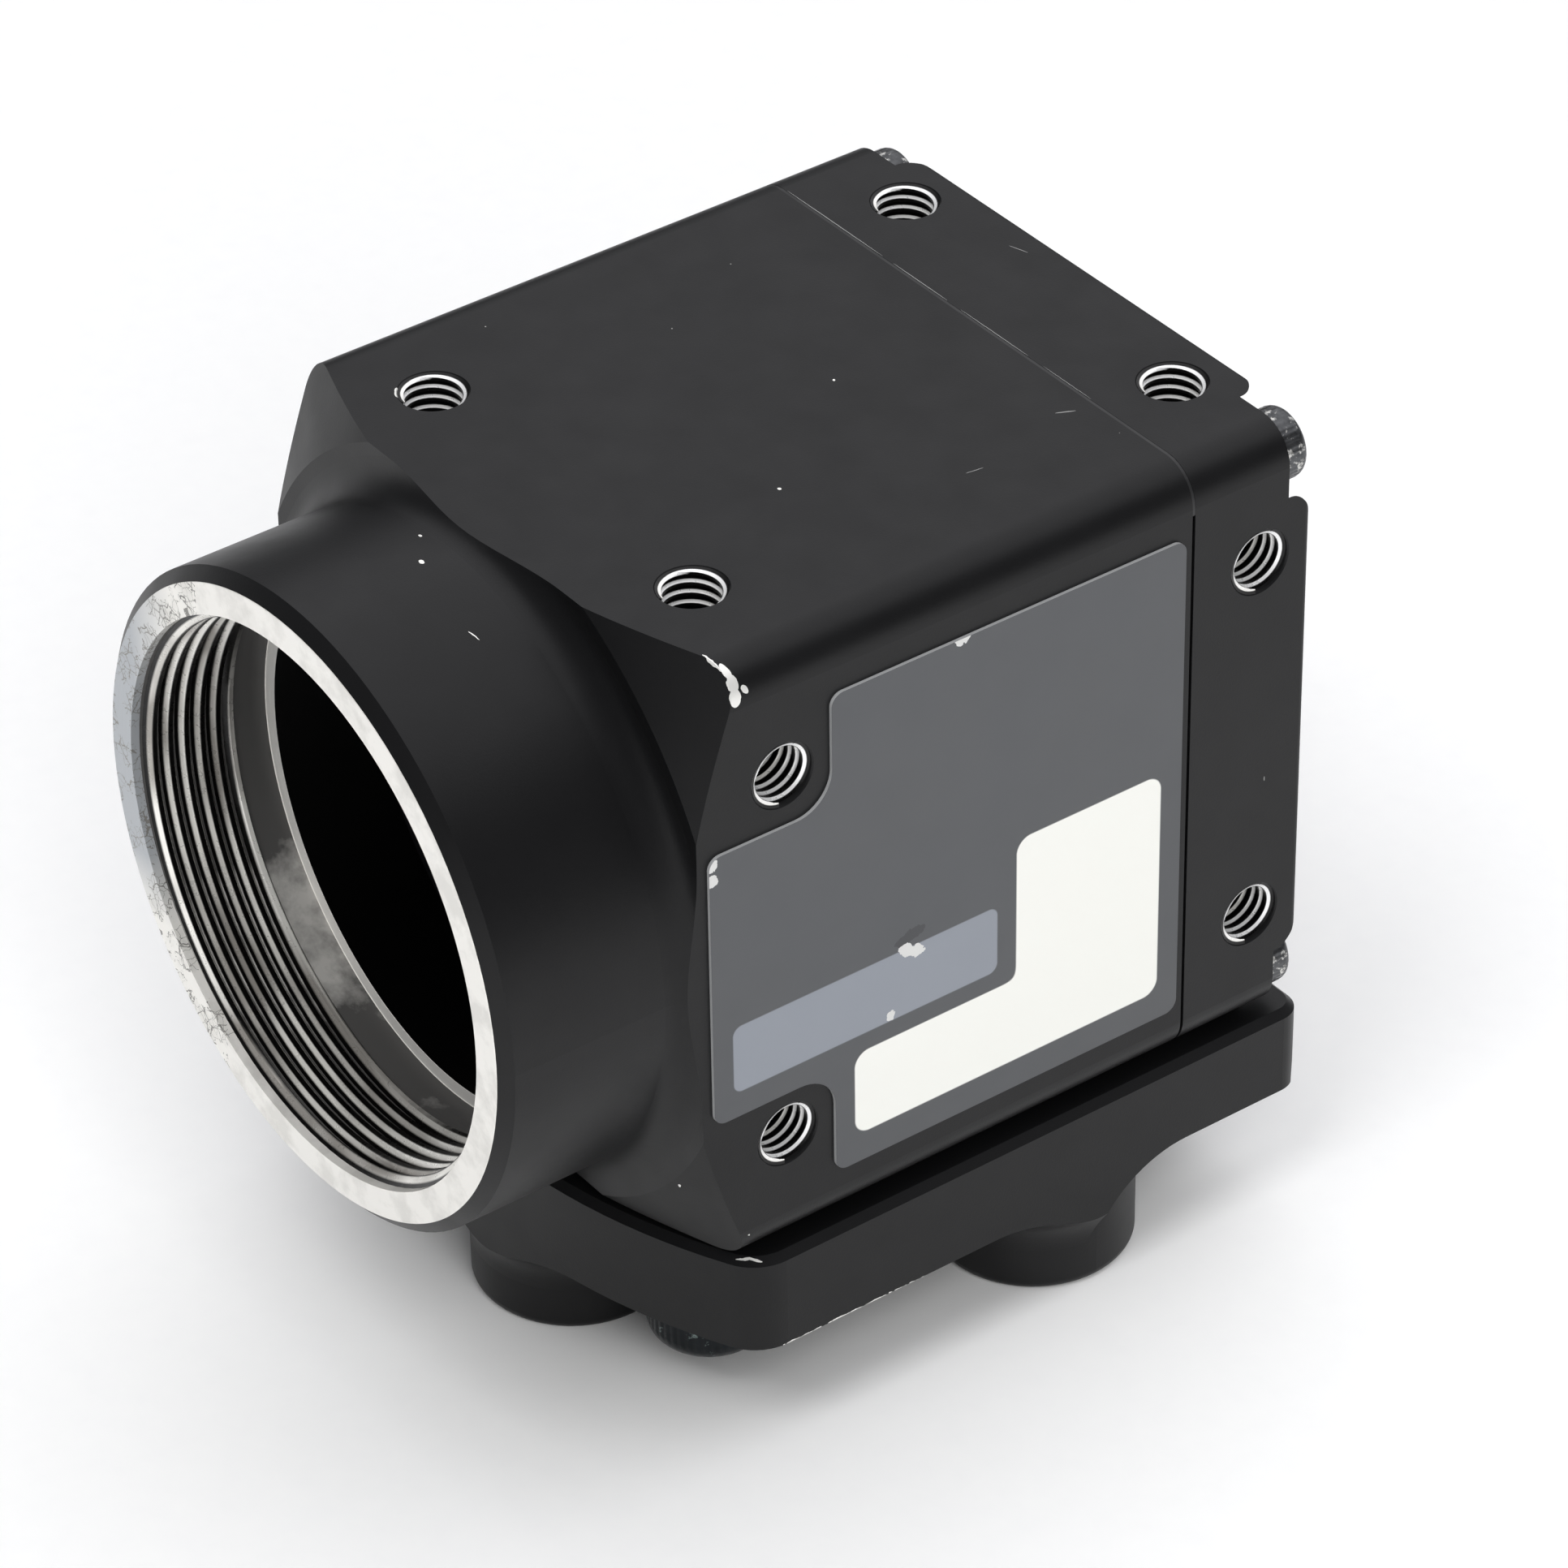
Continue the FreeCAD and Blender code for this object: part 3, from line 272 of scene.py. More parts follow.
@dataclass(frozen=True)
class Paint(Finish):
    """Satin paint on aluminium with dust, scratched lines and chipped spots down to the metal; some of the
    pale lines and bare-metal marks are painted highlights along edges.
    """

    marks: tuple[Mark, ...] = ()
    scratches_and_highlights: tuple[Mark, ...] = ()
    bare: str = "#f1f0ec"
    bare_shine: float = 0.45
    bare_roughness: float = 0.38
    scratch_and_highlight: str = "#8d8d8c"
    dust: str = "#a5a5a2"
    dust_cell: float = 2.3
    dust_radius: float = 0.06

    def ragged(self, skin: Surface, size: float, reach: float) -> Socket:
        """Pushes the coordinates about with a noise, so that worn edges are ragged.

        Args:
            skin: the material.
            size: size of the noise's patches.
            reach: how far a point is pushed at most.

        Returns:
            The pushed coordinates.
        """
        push = skin.add("TexNoise", {"Vector": skin.mm, "Scale": 1 / size, "Detail": 3.0})
        centred = skin.add(
            "VectorMath", {0: push.outputs["Color"], 1: (0.5, 0.5, 0.5)}, operation="SUBTRACT")
        return skin.out("VectorMath", {
            0: centred.outputs[0], 1: (2 * reach,) * 3, 2: skin.mm}, operation="MULTIPLY_ADD")

    def chips_and_highlights(self, skin: Surface) -> Socket | None:
        """Finds the bare-metal marks: chipped spots, and on the base also painted highlights along its edges.

        Args:
            skin: the material.

        Returns:
            Their mask, or None on paint without such marks.
        """
        if not self.marks:
            return None
        place = self.ragged(skin, 0.5, 0.1)
        return any_of(skin, [mark.mask(skin, place) for mark in self.marks])

    def dusted(self, skin: Surface, tone: Socket) -> Socket:
        """Adds dust specks and fine pale lines: scratched lines, and on the cover also painted highlights
        along the top seam.

        Args:
            skin: the material.
            tone: the paint's colour.

        Returns:
            The colour with both on it.
        """
        cells = skin.add("TexVoronoi", {"Vector": skin.mm, "Scale": 1 / self.dust_cell})
        pick = skin.add("SeparateColor", {0: cells.outputs["Color"]})
        size = skin.out("MapRange", {
            "Value": pick.outputs[0], "From Min": 0.55, "From Max": 1.0, "To Min": 0.0,
            "To Max": self.dust_radius / self.dust_cell})
        speck = skin.out("Math", {0: cells.outputs["Distance"], 1: size}, operation="LESS_THAN")
        tone = mix(skin, speck, tone, linear(self.dust))
        # Pale lines: scratched lines, and on the cover also painted highlights along the top seam.
        if self.scratches_and_highlights:
            place = self.ragged(skin, 0.25, 0.02)
            lines = any_of(skin, [mark.mask(skin, place) for mark in self.scratches_and_highlights])
            tone = mix(skin, lines, tone, linear(self.scratch_and_highlight))
        return tone

    def zones(self, skin: Surface, look: Look) -> Look:
        """Room for zones with another finish; plain paint has none."""
        return look

    def build(self) -> bpy.types.Material:
        """Builds the material and returns it."""
        skin = Surface(self.name)
        skin.shader.inputs["Specular IOR Level"].default_value = self.specular
        look = {
            "Base Color": self.dusted(skin, self.tone(skin)),
            "Roughness": self.gloss(skin),
            "height": self.relief(skin),
        }
        # Bare-metal marks: chipped paint, and on the base also painted highlights along its edges.
        chips_and_highlights = self.chips_and_highlights(skin)
        if chips_and_highlights is not None:
            look["Base Color"] = mix(skin, chips_and_highlights, look["Base Color"], linear(self.bare))
            look["Roughness"] = mix(skin, chips_and_highlights, look["Roughness"], self.bare_roughness, "FLOAT")
            look["Metallic"] = mix(skin, chips_and_highlights, 0.0, self.bare_shine, "FLOAT")
            look["height"] = skin.out(
                "Math", {0: look["height"], 1: chips_and_highlights}, operation="SUBTRACT")
        look = self.zones(skin, look)
        skin.shade(look.pop("height"), self.depth, self.edge)
        for name, socket in look.items():
            skin.link(socket, name)
        return skin.material


@dataclass(frozen=True)
class HousingPaint(Paint):
    """The front housing: paint outside, bare aluminium on ring and thread, flat black deep in the bore that
    is partly a black finish and partly painted shade.
    """

    ring_radius: float = 14.12
    thread_radius: float = 12.9
    bore_radius: float = 12.2
    mouth_depth: float = 0.42
    step_depth: float = 6.75
    # Near-black deep in the bore: a black finish, painted darker to stand in for the shade there.
    bore_black_and_shade: str = "#020202"
    turned: str = "#f3f1ec"
    tarnish: str = "#dcdad5"
    # Painted shade: the grey that the ring's face is made towards its left, standing in for the shadowed
    # table that it reflects.
    reflected_shade: str = "#b4b8bc"
    wall: str = "#555453"
    wall_light: str = "#b9b7b3"
    step: str = "#fffdf8"
    crack: str = "#8d8b87"
    cracked_left_of: float = -6.5
    # Where the painted shade on the ring's face begins and where it is full, across and up.
    reflected_shade_across: tuple[float, float] = (-8.5, -12.0)
    reflected_shade_up: tuple[float, float] = (-7.5, -4.5)
    # Painted light on the wall behind the thread: the height low in the bore where it is lightest, and how
    # far that reaches.
    painted_light_height: float = -8.7
    painted_light_reach: tuple[float, float] = (1.5, 3.5)
    wall_shine: float = 0.15
    ring_shine: float = 0.4
    trap_roughness: float = 0.95
    border: float = 0.03

    def test(self, skin: Surface, kind: str, value: Socket, limit: float) -> Socket:
        """Mask of where a value is above or below a limit."""
        return skin.out("Math", {0: value, 1: limit}, operation=kind)

    def hairlines(self, skin: Surface, size: float, width: float) -> Socket:
        """Mask of a net of fine ragged cracks."""
        cells = skin.add("TexVoronoi", {
            "Vector": self.ragged(skin, 0.5 * size, 0.25 * size), "Scale": 1 / size},
            feature="DISTANCE_TO_EDGE")
        return self.test(skin, "LESS_THAN", cells.outputs[0], width)

    def ring_metal(self, skin: Surface, across: Socket, up: Socket) -> Socket:
        """Colours the ring's face: pale turned metal, finely cracked at its left, with painted shade making
        it greyer there to stand in for the shadowed table that it reflects.

        Args:
            skin: the material.
            across: how far right of the axis a point lies.
            up: how far above the axis it lies.

        Returns:
            The colour.
        """
        cloud = skin.add("TexNoise", {"Vector": skin.mm, "Scale": 0.5, "Detail": 5.0, "Roughness": 0.6})
        dull = skin.out("MapRange", {
            "Value": cloud.outputs[0], "From Min": 0.45, "From Max": 0.6, "To Max": 0.75})
        colour = mix(skin, dull, linear(self.turned), linear(self.tarnish))
        # Painted shade: greyer towards the left of the ring's face.
        beside = skin.out("MapRange", {
            "Value": across, "From Min": self.reflected_shade_across[0], "From Max": self.reflected_shade_across[1]})
        above = skin.out("MapRange", {
            "Value": up, "From Min": self.reflected_shade_up[0], "From Max": self.reflected_shade_up[1]})
        grey = skin.out("Math", {0: beside, 1: above}, operation="MULTIPLY")
        colour = mix(skin, grey, colour, linear(self.reflected_shade))
        left = self.test(skin, "LESS_THAN", across, self.cracked_left_of)
        some = self.test(skin, "GREATER_THAN", cloud.outputs[0], 0.47)
        worn = skin.out("Math", {0: left, 1: some}, operation="MULTIPLY")
        cracks = any_of(skin, [self.hairlines(skin, 1.1, 0.02), self.hairlines(skin, 0.45, 0.02)])
        cracks = skin.out("Math", {0: cracks, 1: worn}, operation="MULTIPLY")
        return mix(skin, cracks, colour, linear(self.crack))

    def wall_metal(self, skin: Surface, up: Socket) -> Socket:
        """Colours the plain wall behind the thread: dark grey, with painted light making it lighter in
        mottled spots low down.

        Args:
            skin: the material.
            up: how far above the axis a point lies.

        Returns:
            The colour.
        """
        streak = skin.add("TexNoise", {
            "Vector": skin.mm, "Scale": 0.45, "Detail": 5.0, "Roughness": 0.6})
        # Painted light: the share is raised round a height low in the bore, so that the lower wall looks lit.
        off = skin.out("Math", {0: up, 1: self.painted_light_height}, operation="SUBTRACT")
        off = skin.out("Math", {0: off}, operation="ABSOLUTE")
        lightening = skin.out("MapRange", {
            "Value": off, "From Min": self.painted_light_reach[0], "From Max": self.painted_light_reach[1],
            "To Min": 0.2, "To Max": -0.2})
        share = skin.out("Math", {0: streak.outputs[0], 1: lightening}, operation="ADD")
        share = skin.out("MapRange", {"Value": share, "From Min": 0.45, "From Max": 0.75})
        return mix(skin, share, linear(self.wall), linear(self.wall_light))

    def zones(self, skin: Surface, look: Look) -> Look:
        """Adds the turned ring, the thread's wall, the bright step and, behind them, a flat black that also
        stands in for the shade deep in the bore.

        Args:
            skin: the material.
            look: the paint's colour, roughness, metallic share and height.

        Returns:
            The same with the four zones in them.
        """
        apart = skin.add("SeparateXYZ", {0: skin.mm})
        flat = skin.add("CombineXYZ", {0: apart.outputs[0], 1: apart.outputs[2]})
        radius = skin.add("VectorMath", {0: flat.outputs[0]}, operation="LENGTH").outputs["Value"]
        across, depth, up = apart.outputs

        def within(limit: float, kind: str, end: float) -> Socket:
            """Mask of what lies inside a radius and before or behind a depth."""
            near = self.test(skin, "LESS_THAN", radius, limit)
            return skin.out(
                "Math", {0: near, 1: self.test(skin, kind, depth, end)}, operation="MULTIPLY")

        face = within(self.ring_radius, "LESS_THAN", self.mouth_depth)
        wall = within(self.thread_radius, "LESS_THAN", self.step_depth + self.border)
        metal = any_of(skin, [face, wall])
        step = within(self.thread_radius, "GREATER_THAN", self.step_depth - self.border)
        # Painted shade: flat near-black deep in the bore, over a black finish.
        bore_black_and_shade = within(self.bore_radius, "GREATER_THAN", self.step_depth + self.border)
        lathe = skin.add("CombineXYZ", {0: radius, 1: depth})
        rings = skin.add("TexNoise", {
            "Vector": lathe.outputs[0], "Scale": 9.0, "Detail": 3.0, "Roughness": 0.6})
        bare = mix(skin, step, self.wall_metal(skin, up), linear(self.step))
        bare = mix(skin, face, bare, self.ring_metal(skin, across, up))
        rough = skin.add("MapRange", {
            "Value": rings.outputs[0], "From Min": NOISE_LOW, "From Max": NOISE_HIGH,
            "To Min": 0.3, "To Max": 0.44})
        shine = mix(skin, face, self.wall_shine, self.ring_shine, "FLOAT")

        colour = mix(skin, metal, look["Base Color"], bare)
        gloss = mix(skin, metal, look["Roughness"], rough.outputs[0], "FLOAT")
        look["Base Color"] = mix(skin, bore_black_and_shade, colour, linear(self.bore_black_and_shade))
        look["Roughness"] = mix(skin, bore_black_and_shade, gloss, self.trap_roughness, "FLOAT")
        look["Metallic"] = mix(skin, metal, look.get("Metallic", 0.0), shine, "FLOAT")
        look["height"] = mix(skin, metal, look["height"], rings.outputs[0], "FLOAT")
        return look


@dataclass(frozen=True)
class Field:
    """A plain rounded colour field on the label, by its limits along Y and Z."""

    front: float
    back: float
    low: float
    high: float
    corner: float

    def distance(self, skin: Surface) -> Socket:
        """Measures how far a point lies outside the field.

        Args:
            skin: the material.

        Returns:
            The distance, negative within the rounded corner's reach.
        """
        middle = ((self.front + self.back) / 2, (self.low + self.high) / 2)
        half = ((self.back - self.front) / 2 - self.corner, (self.high - self.low) / 2 - self.corner)
        inside = skin.mm
        for operation, other in (
                ("SUBTRACT", {1: (0.0, *middle)}), ("MULTIPLY", {1: (0.0, 1.0, 1.0)}), ("ABSOLUTE", {}),
                ("SUBTRACT", {1: (0.0, *half)}), ("MAXIMUM", {1: (0.0, 0.0, 0.0)})):
            inside = skin.out("VectorMath", {0: inside, **other}, operation=operation)
        reach = skin.add("VectorMath", {0: inside}, operation="LENGTH").outputs["Value"]
        return skin.out("Math", {0: reach, 1: self.corner}, operation="SUBTRACT")


@dataclass(frozen=True)
class LabelFilm(Finish):
    """Printed polyester film with plain colour fields, a pale cut edge, small scuffs and a painted shade
    beside a torn nick.
    """

    bar: Field = Field(10.85, 24.45, -5.6, -2.25, 0.45)
    panel: tuple[Field, Field] = (
        Field(25.45, 33.1, -10.75, 0.68, 0.75), Field(17.0, 33.1, -10.75, -6.5, 0.75))
    joint: tuple[Field, Field] = (
        Field(25.45, 32.6, -10.25, 0.0, 0.6), Field(17.6, 32.6, -10.25, -6.5, 0.6))
    joint_round: float = 0.9
    bar_colour: str = "#8b9099"
    panel_colour: str = "#f4f4ee"
    edge_colour: str = "#a4a5a6"
    # Colour of the painted shade beside a torn nick in the film.
    nick_shade_colour: str = "#3c3d40"
    scuff_colour: str = "#d8d8d6"
    face: float = 15.149
    scuffs: tuple[Mark, ...] = ()
    nick_shades: tuple[Mark, ...] = ()

    def tone(self, skin: Surface) -> Socket:
        """Lays the two fields, the scuffs, the painted shade beside a torn nick and the cut edge over the
        film's colour.

        Args:
            skin: the material.

        Returns:
            The colour.
        """
        colour = super().tone(skin)
        fields = [part.distance(skin) for part in (*self.panel, *self.joint)]
        corner = skin.out("Math", {
            0: fields[2], 1: fields[3], 2: self.joint_round}, operation="SMOOTH_MIN")
        panel = skin.out("Math", {0: fields[0], 1: fields[1]}, operation="MINIMUM")
        panel = skin.out("Math", {0: panel, 1: corner}, operation="MINIMUM")
        for distance, paint in ((self.bar.distance(skin), self.bar_colour), (panel, self.panel_colour)):
            mask = skin.out("MapRange", {
                "Value": distance, "From Min": -0.03, "From Max": 0.03, "To Min": 1.0, "To Max": 0.0})
            colour = mix(skin, mask, colour, linear(paint))
        place = skin.add("TexNoise", {"Vector": skin.mm, "Scale": 2.5, "Detail": 4.0})
        push = skin.out("VectorMath", {
            0: place.outputs["Color"], 1: (0.0, 0.5, 0.5), 2: skin.mm}, operation="MULTIPLY_ADD")
        push = skin.out("VectorMath", {0: push, 1: (0.0, 0.25, 0.25)}, operation="SUBTRACT")
        # Painted shade: a darker patch beside the torn nick.
        if self.nick_shades:
            nick_shade = any_of(skin, [mark.mask(skin, push) for mark in self.nick_shades])
            colour = mix(skin, nick_shade, colour, linear(self.nick_shade_colour))
        if self.scuffs:
            scuff = any_of(skin, [mark.mask(skin, push) for mark in self.scuffs])
            colour = mix(skin, scuff, colour, linear(self.scuff_colour))
        apart = skin.add("SeparateXYZ", {0: skin.mm})
        rim = skin.out("Math", {0: apart.outputs[0], 1: self.face}, operation="LESS_THAN")
        return mix(skin, rim, colour, linear(self.edge_colour))


@dataclass(frozen=True)
class ThreadMetal(Finish):
    """Bright cut flanks between dark crests and roots, told apart by their distance from the axis; the dark
    is partly greasy dirt and partly painted shade.
    """

    crest_radius: float = 12.27
    root_radius: float = 12.7
    # Colour of crests and roots: partly greasy dirt, partly painted shade.
    grease_and_shade: str = "#0c0b0b"
    bright: tuple[float, float, float, float] = (0.02, 0.12, 0.6, 0.8)
    streak: float = 0.14

    def tone(self, skin: Surface) -> Socket:
        """Colours the flanks bright, falling at crest and root to a dark that is partly greasy dirt and
        partly painted shade, streaked along the turns.

        Args:
            skin: the material.

        Returns:
            The colour.
        """
        flat = skin.add("VectorMath", {0: skin.mm, 1: (1.0, 0.0, 1.0)}, operation="MULTIPLY")
        radius = skin.add("VectorMath", {0: flat.outputs[0]}, operation="LENGTH").outputs["Value"]
        along = skin.add("VectorMath", {0: skin.mm, 1: (1.0, 6.0, 1.0)}, operation="MULTIPLY")
        cloud = skin.out("TexNoise", {
            "Vector": along.outputs[0], "Scale": self.streak, "Detail": 2.0, "Roughness": 0.45})
        share = skin.out("MapRange", {"Value": cloud, "From Min": 0.45, "From Max": 0.62})
        colour = mix(skin, share, linear(self.colour), linear(self.second))
        height = self.root_radius - self.crest_radius
        levels = [self.crest_radius + part * height for part in self.bright]
        rise = skin.out("MapRange", {
            "Value": radius, "From Min": levels[0], "From Max": levels[1]})
        fall = skin.out("MapRange", {
            "Value": radius, "From Min": levels[2], "From Max": levels[3],
            "To Min": 1.0, "To Max": 0.0})
        flank = skin.out("Math", {0: rise, 1: fall}, operation="MULTIPLY")
        # Crests and roots take the dark colour: greasy dirt and painted shade.
        return mix(skin, flank, linear(self.grease_and_shade), colour)


@dataclass(frozen=True)
class WornSteel(Finish):
    """Dark plated steel with small bright spots, partly wear and partly painted glints."""

    # Colour of the bright spots: partly wear, partly painted glints.
    lightening: str = "#d4d3cf"
    spot: float = 0.5
    limit: float = 0.62
    soft: float = 0.04

    def tone(self, skin: Surface) -> Socket:
        """Lays the bright spots, partly wear and partly painted glints, over the plate's colour.

        Args:
            skin: the material.

        Returns:
            The colour.
        """
        spots = skin.add("TexNoise", {
            "Vector": skin.mm, "Scale": 1 / self.spot, "Detail": 6.0, "Roughness": 0.65})
        share = skin.out("MapRange", {
            "Value": spots.outputs[0], "From Min": self.limit - self.soft,
            "From Max": self.limit + self.soft})
        return mix(skin, share, super().tone(skin), linear(self.lightening))


@dataclass(frozen=True)
class BoardMask(Finish):
    """Solder mask over copper: tracks show through as paler green lines."""

    track: str = "#2c6b3c"
    pitch: float = 1.3
    width: float = 0.06

    def tone(self, skin: Surface) -> Socket:
        """Lays a net of tracks over the mask's colour.

        Args:
            skin: the material.

        Returns:
            The colour.
        """
        net = skin.add("TexVoronoi", {
            "Vector": skin.mm, "Scale": 1 / self.pitch}, feature="DISTANCE_TO_EDGE")
        line = skin.out("Math", {0: net.outputs[0], 1: self.width}, operation="LESS_THAN")
        return mix(skin, line, super().tone(skin), linear(self.track))


@dataclass(frozen=True)
class Clear(Finish):
    """Clear or coated glass and clear mouldings."""

    index: float = 1.52

    def build(self) -> bpy.types.Material:
        """Builds the material, which has one colour all over, and returns it."""
        skin = Surface(self.name)
        for name, value in (
                ("Base Color", linear(self.colour)), ("Transmission Weight", 1.0), ("IOR", self.index)):
            skin.shader.inputs[name].default_value = value
        skin.link(self.gloss(skin), "Roughness")
        skin.shade(self.relief(skin), self.depth, self.edge)
        return skin.material


def marks(*rows: tuple[Triple, ...]) -> tuple[Mark, ...]:
    """Marks from rows of place, size and, where it isn't +X, the way the mark runs."""
    return tuple(Mark(*row) for row in rows)


class Wear:
    """Where the real camera is worn, and where highlights and shade are painted on, in millimetres."""

    HOUSING_CHIPS = marks(
        ((13.7, 11.25, 14.92), (0.65, 0.05, 0.15), (0.85, 0.12, -0.25)),
        ((14.25, 11.5, 14.62), (0.42, 0.17, 0.22), (0.75, 0.1, -0.62)),
        ((14.62, 11.55, 14.22), (0.42, 0.24, 0.25), (0.5, 0.0, -0.85)),
        ((14.9, 11.5, 13.75), (0.42, 0.24, 0.25), (0.05, -0.15, -1.0)),
        ((14.84, 11.98, 13.92), (0.2, 0.11, 0.22), (0.1, 0.1, -1.0)),
        ((15.0, 11.6, -13.6), (0.26, 0.03, 0.2), (0.0, 0.2, 1.0)),
        ((13.02, 9.52, -11.1), (0.09, 0.06, 0.1)),
        ((-13.3, 9.7, 9.9), (0.35, 0.07, 0.3), (0.6, 0.0, 1.0)),
        ((5.1, 5.8, 13.8), (0.3, 0.03, 0.2), (1.0, 0.3, -0.3)),
        ((0.64, 6.4, 14.69), (0.16, 0.1, 0.1)),
        ((-0.96, 7.4, 14.67), (0.1, 0.07, 0.1)),
        ((-9.95, 12.4, 15.0), (0.36, 0.13, 0.2), (0.85, -0.5, 0.0)),
        ((5.56, 20.6, 15.0), (0.09, 0.07, 0.1)),
        ((0.41, 27.28, 15.0), (0.08, 0.06, 0.1)),
    )
    HOUSING_SCRATCHES = marks(
        ((8.2, 33.35, 15.0), (0.44, 0.035, 0.2), (0.43, 0.9, 0.0)),
        ((9.36, 27.7, 15.0), (0.42, 0.02, 0.2), (0.14, 1.0, 0.0)),
        ((14.9, 21.1, 14.85), (0.36, 0.03, 0.2), (-0.1, 0.9, 0.35)),
        ((14.9, 21.65, 14.7), (0.3, 0.03, 0.25), (0.1, 0.7, -0.7)),
        ((15.0, 32.6, 10.6), (0.3, 0.02, 0.2), (0.0, 0.1, 1.0)),
        ((-12.4, 9.8, 10.2), (0.7, 0.03, 0.3), (1.0, 0.0, 0.15)),
    )
    COVER_CHIPS = marks(
        ((14.9, 38.6, 13.2), (0.12, 0.05, 0.2), (0.0, 1.0, 0.3)),
    )
    COVER_SCRATCHES_AND_SEAM_HIGHLIGHTS = marks(
        ((-3.0, 39.7, 15.0), (0.5, 0.02, 0.2), (1.0, 0.3, 0.0)),
        # Painted highlight: pale lines along the cover's front edge at the top seam, where the edge catches
        # the light.
        ((-9.5, 34.79, 15.0), (3.4, 0.022, 0.1)),
        ((-3.5, 34.79, 15.0), (1.9, 0.02, 0.1)),
        ((1.6, 34.79, 15.0), (2.3, 0.018, 0.1)),
        ((6.5, 34.79, 15.0), (1.6, 0.014, 0.1)),
        ((15.0, 38.9, -2.2), (0.12, 0.03, 0.2), (0.0, 0.0, 1.0)),
    )
    BASE_WEAR_AND_HIGHLIGHTS = marks(
        # Bare-metal marks on the base's edges: partly worn paint, partly painted highlights where the edges
        # catch the light.
        ((14.25, 12.15, -15.6), (0.66, 0.05, 0.1), (0.71, 0.7, 0.0)),
        ((15.0, 16.8, -20.3), (4.6, 0.03, 0.04), (0.0, 1.0, 0.0)),
    )
    LABEL_SCUFFS = marks(
        ((15.15, 22.6, 12.0), (0.36, 0.05, 0.3), (0.0, 1.0, 0.1)),
        ((15.15, 19.75, -2.35), (0.5, 0.12, 0.3), (0.0, 0.8, -0.75)),
        ((15.15, 20.3, -2.6), (0.35, 0.1, 0.3), (0.0, 0.6, 0.8)),
        ((15.15, 10.0, 6.35), (0.3, 0.05, 0.3), (0.0, 0.7, 0.7)),
        ((15.15, 9.95, 5.6), (0.26, 0.04, 0.3), (0.0, 0.05, 1.0)),
        ((15.15, 18.9, -5.3), (0.2, 0.05, 0.2), (0.0, 0.5, -1.0)),
    )
    LABEL_NICK_SHADE = marks(
        # Painted shade: a darker patch beside the torn nick in the label.
        ((15.15, 19.9, -1.7), (0.8, 0.25, 0.3), (0.0, 1.0, 0.25)),
    )


class Slot(Enum):
    """The record's material slots."""

    PAINTED = "painted_aluminium"
    BASE = "base_black"
    RUBBER = "black_rubber"
    SCREW = "screw_steel"
    BLACK_SCREW = "black_screw_steel"
    LABEL = "label_film"
    FILTER = "filter_glass"
    COVER_GLASS = "cover_glass"
    ANODISED = "black_anodised"
    CERAMIC = "ceramic"
    SILICON = "silicon"
    BOARD = "circuit_board"
    BRASS = "brass"
    CONNECTOR = "connector_plastic"
    CHIP = "chip_plastic"
    BRIGHT = "bright_steel"
    NICKEL = "nickel"
    LAMP = "lamp_plastic"


PAINT_LOOK = dict(
    colour="#111112", second="#161617", roughness=0.4, patch=7.0, grain=0.09, depth=0.004, spread=0.03,
    specular=0.25)

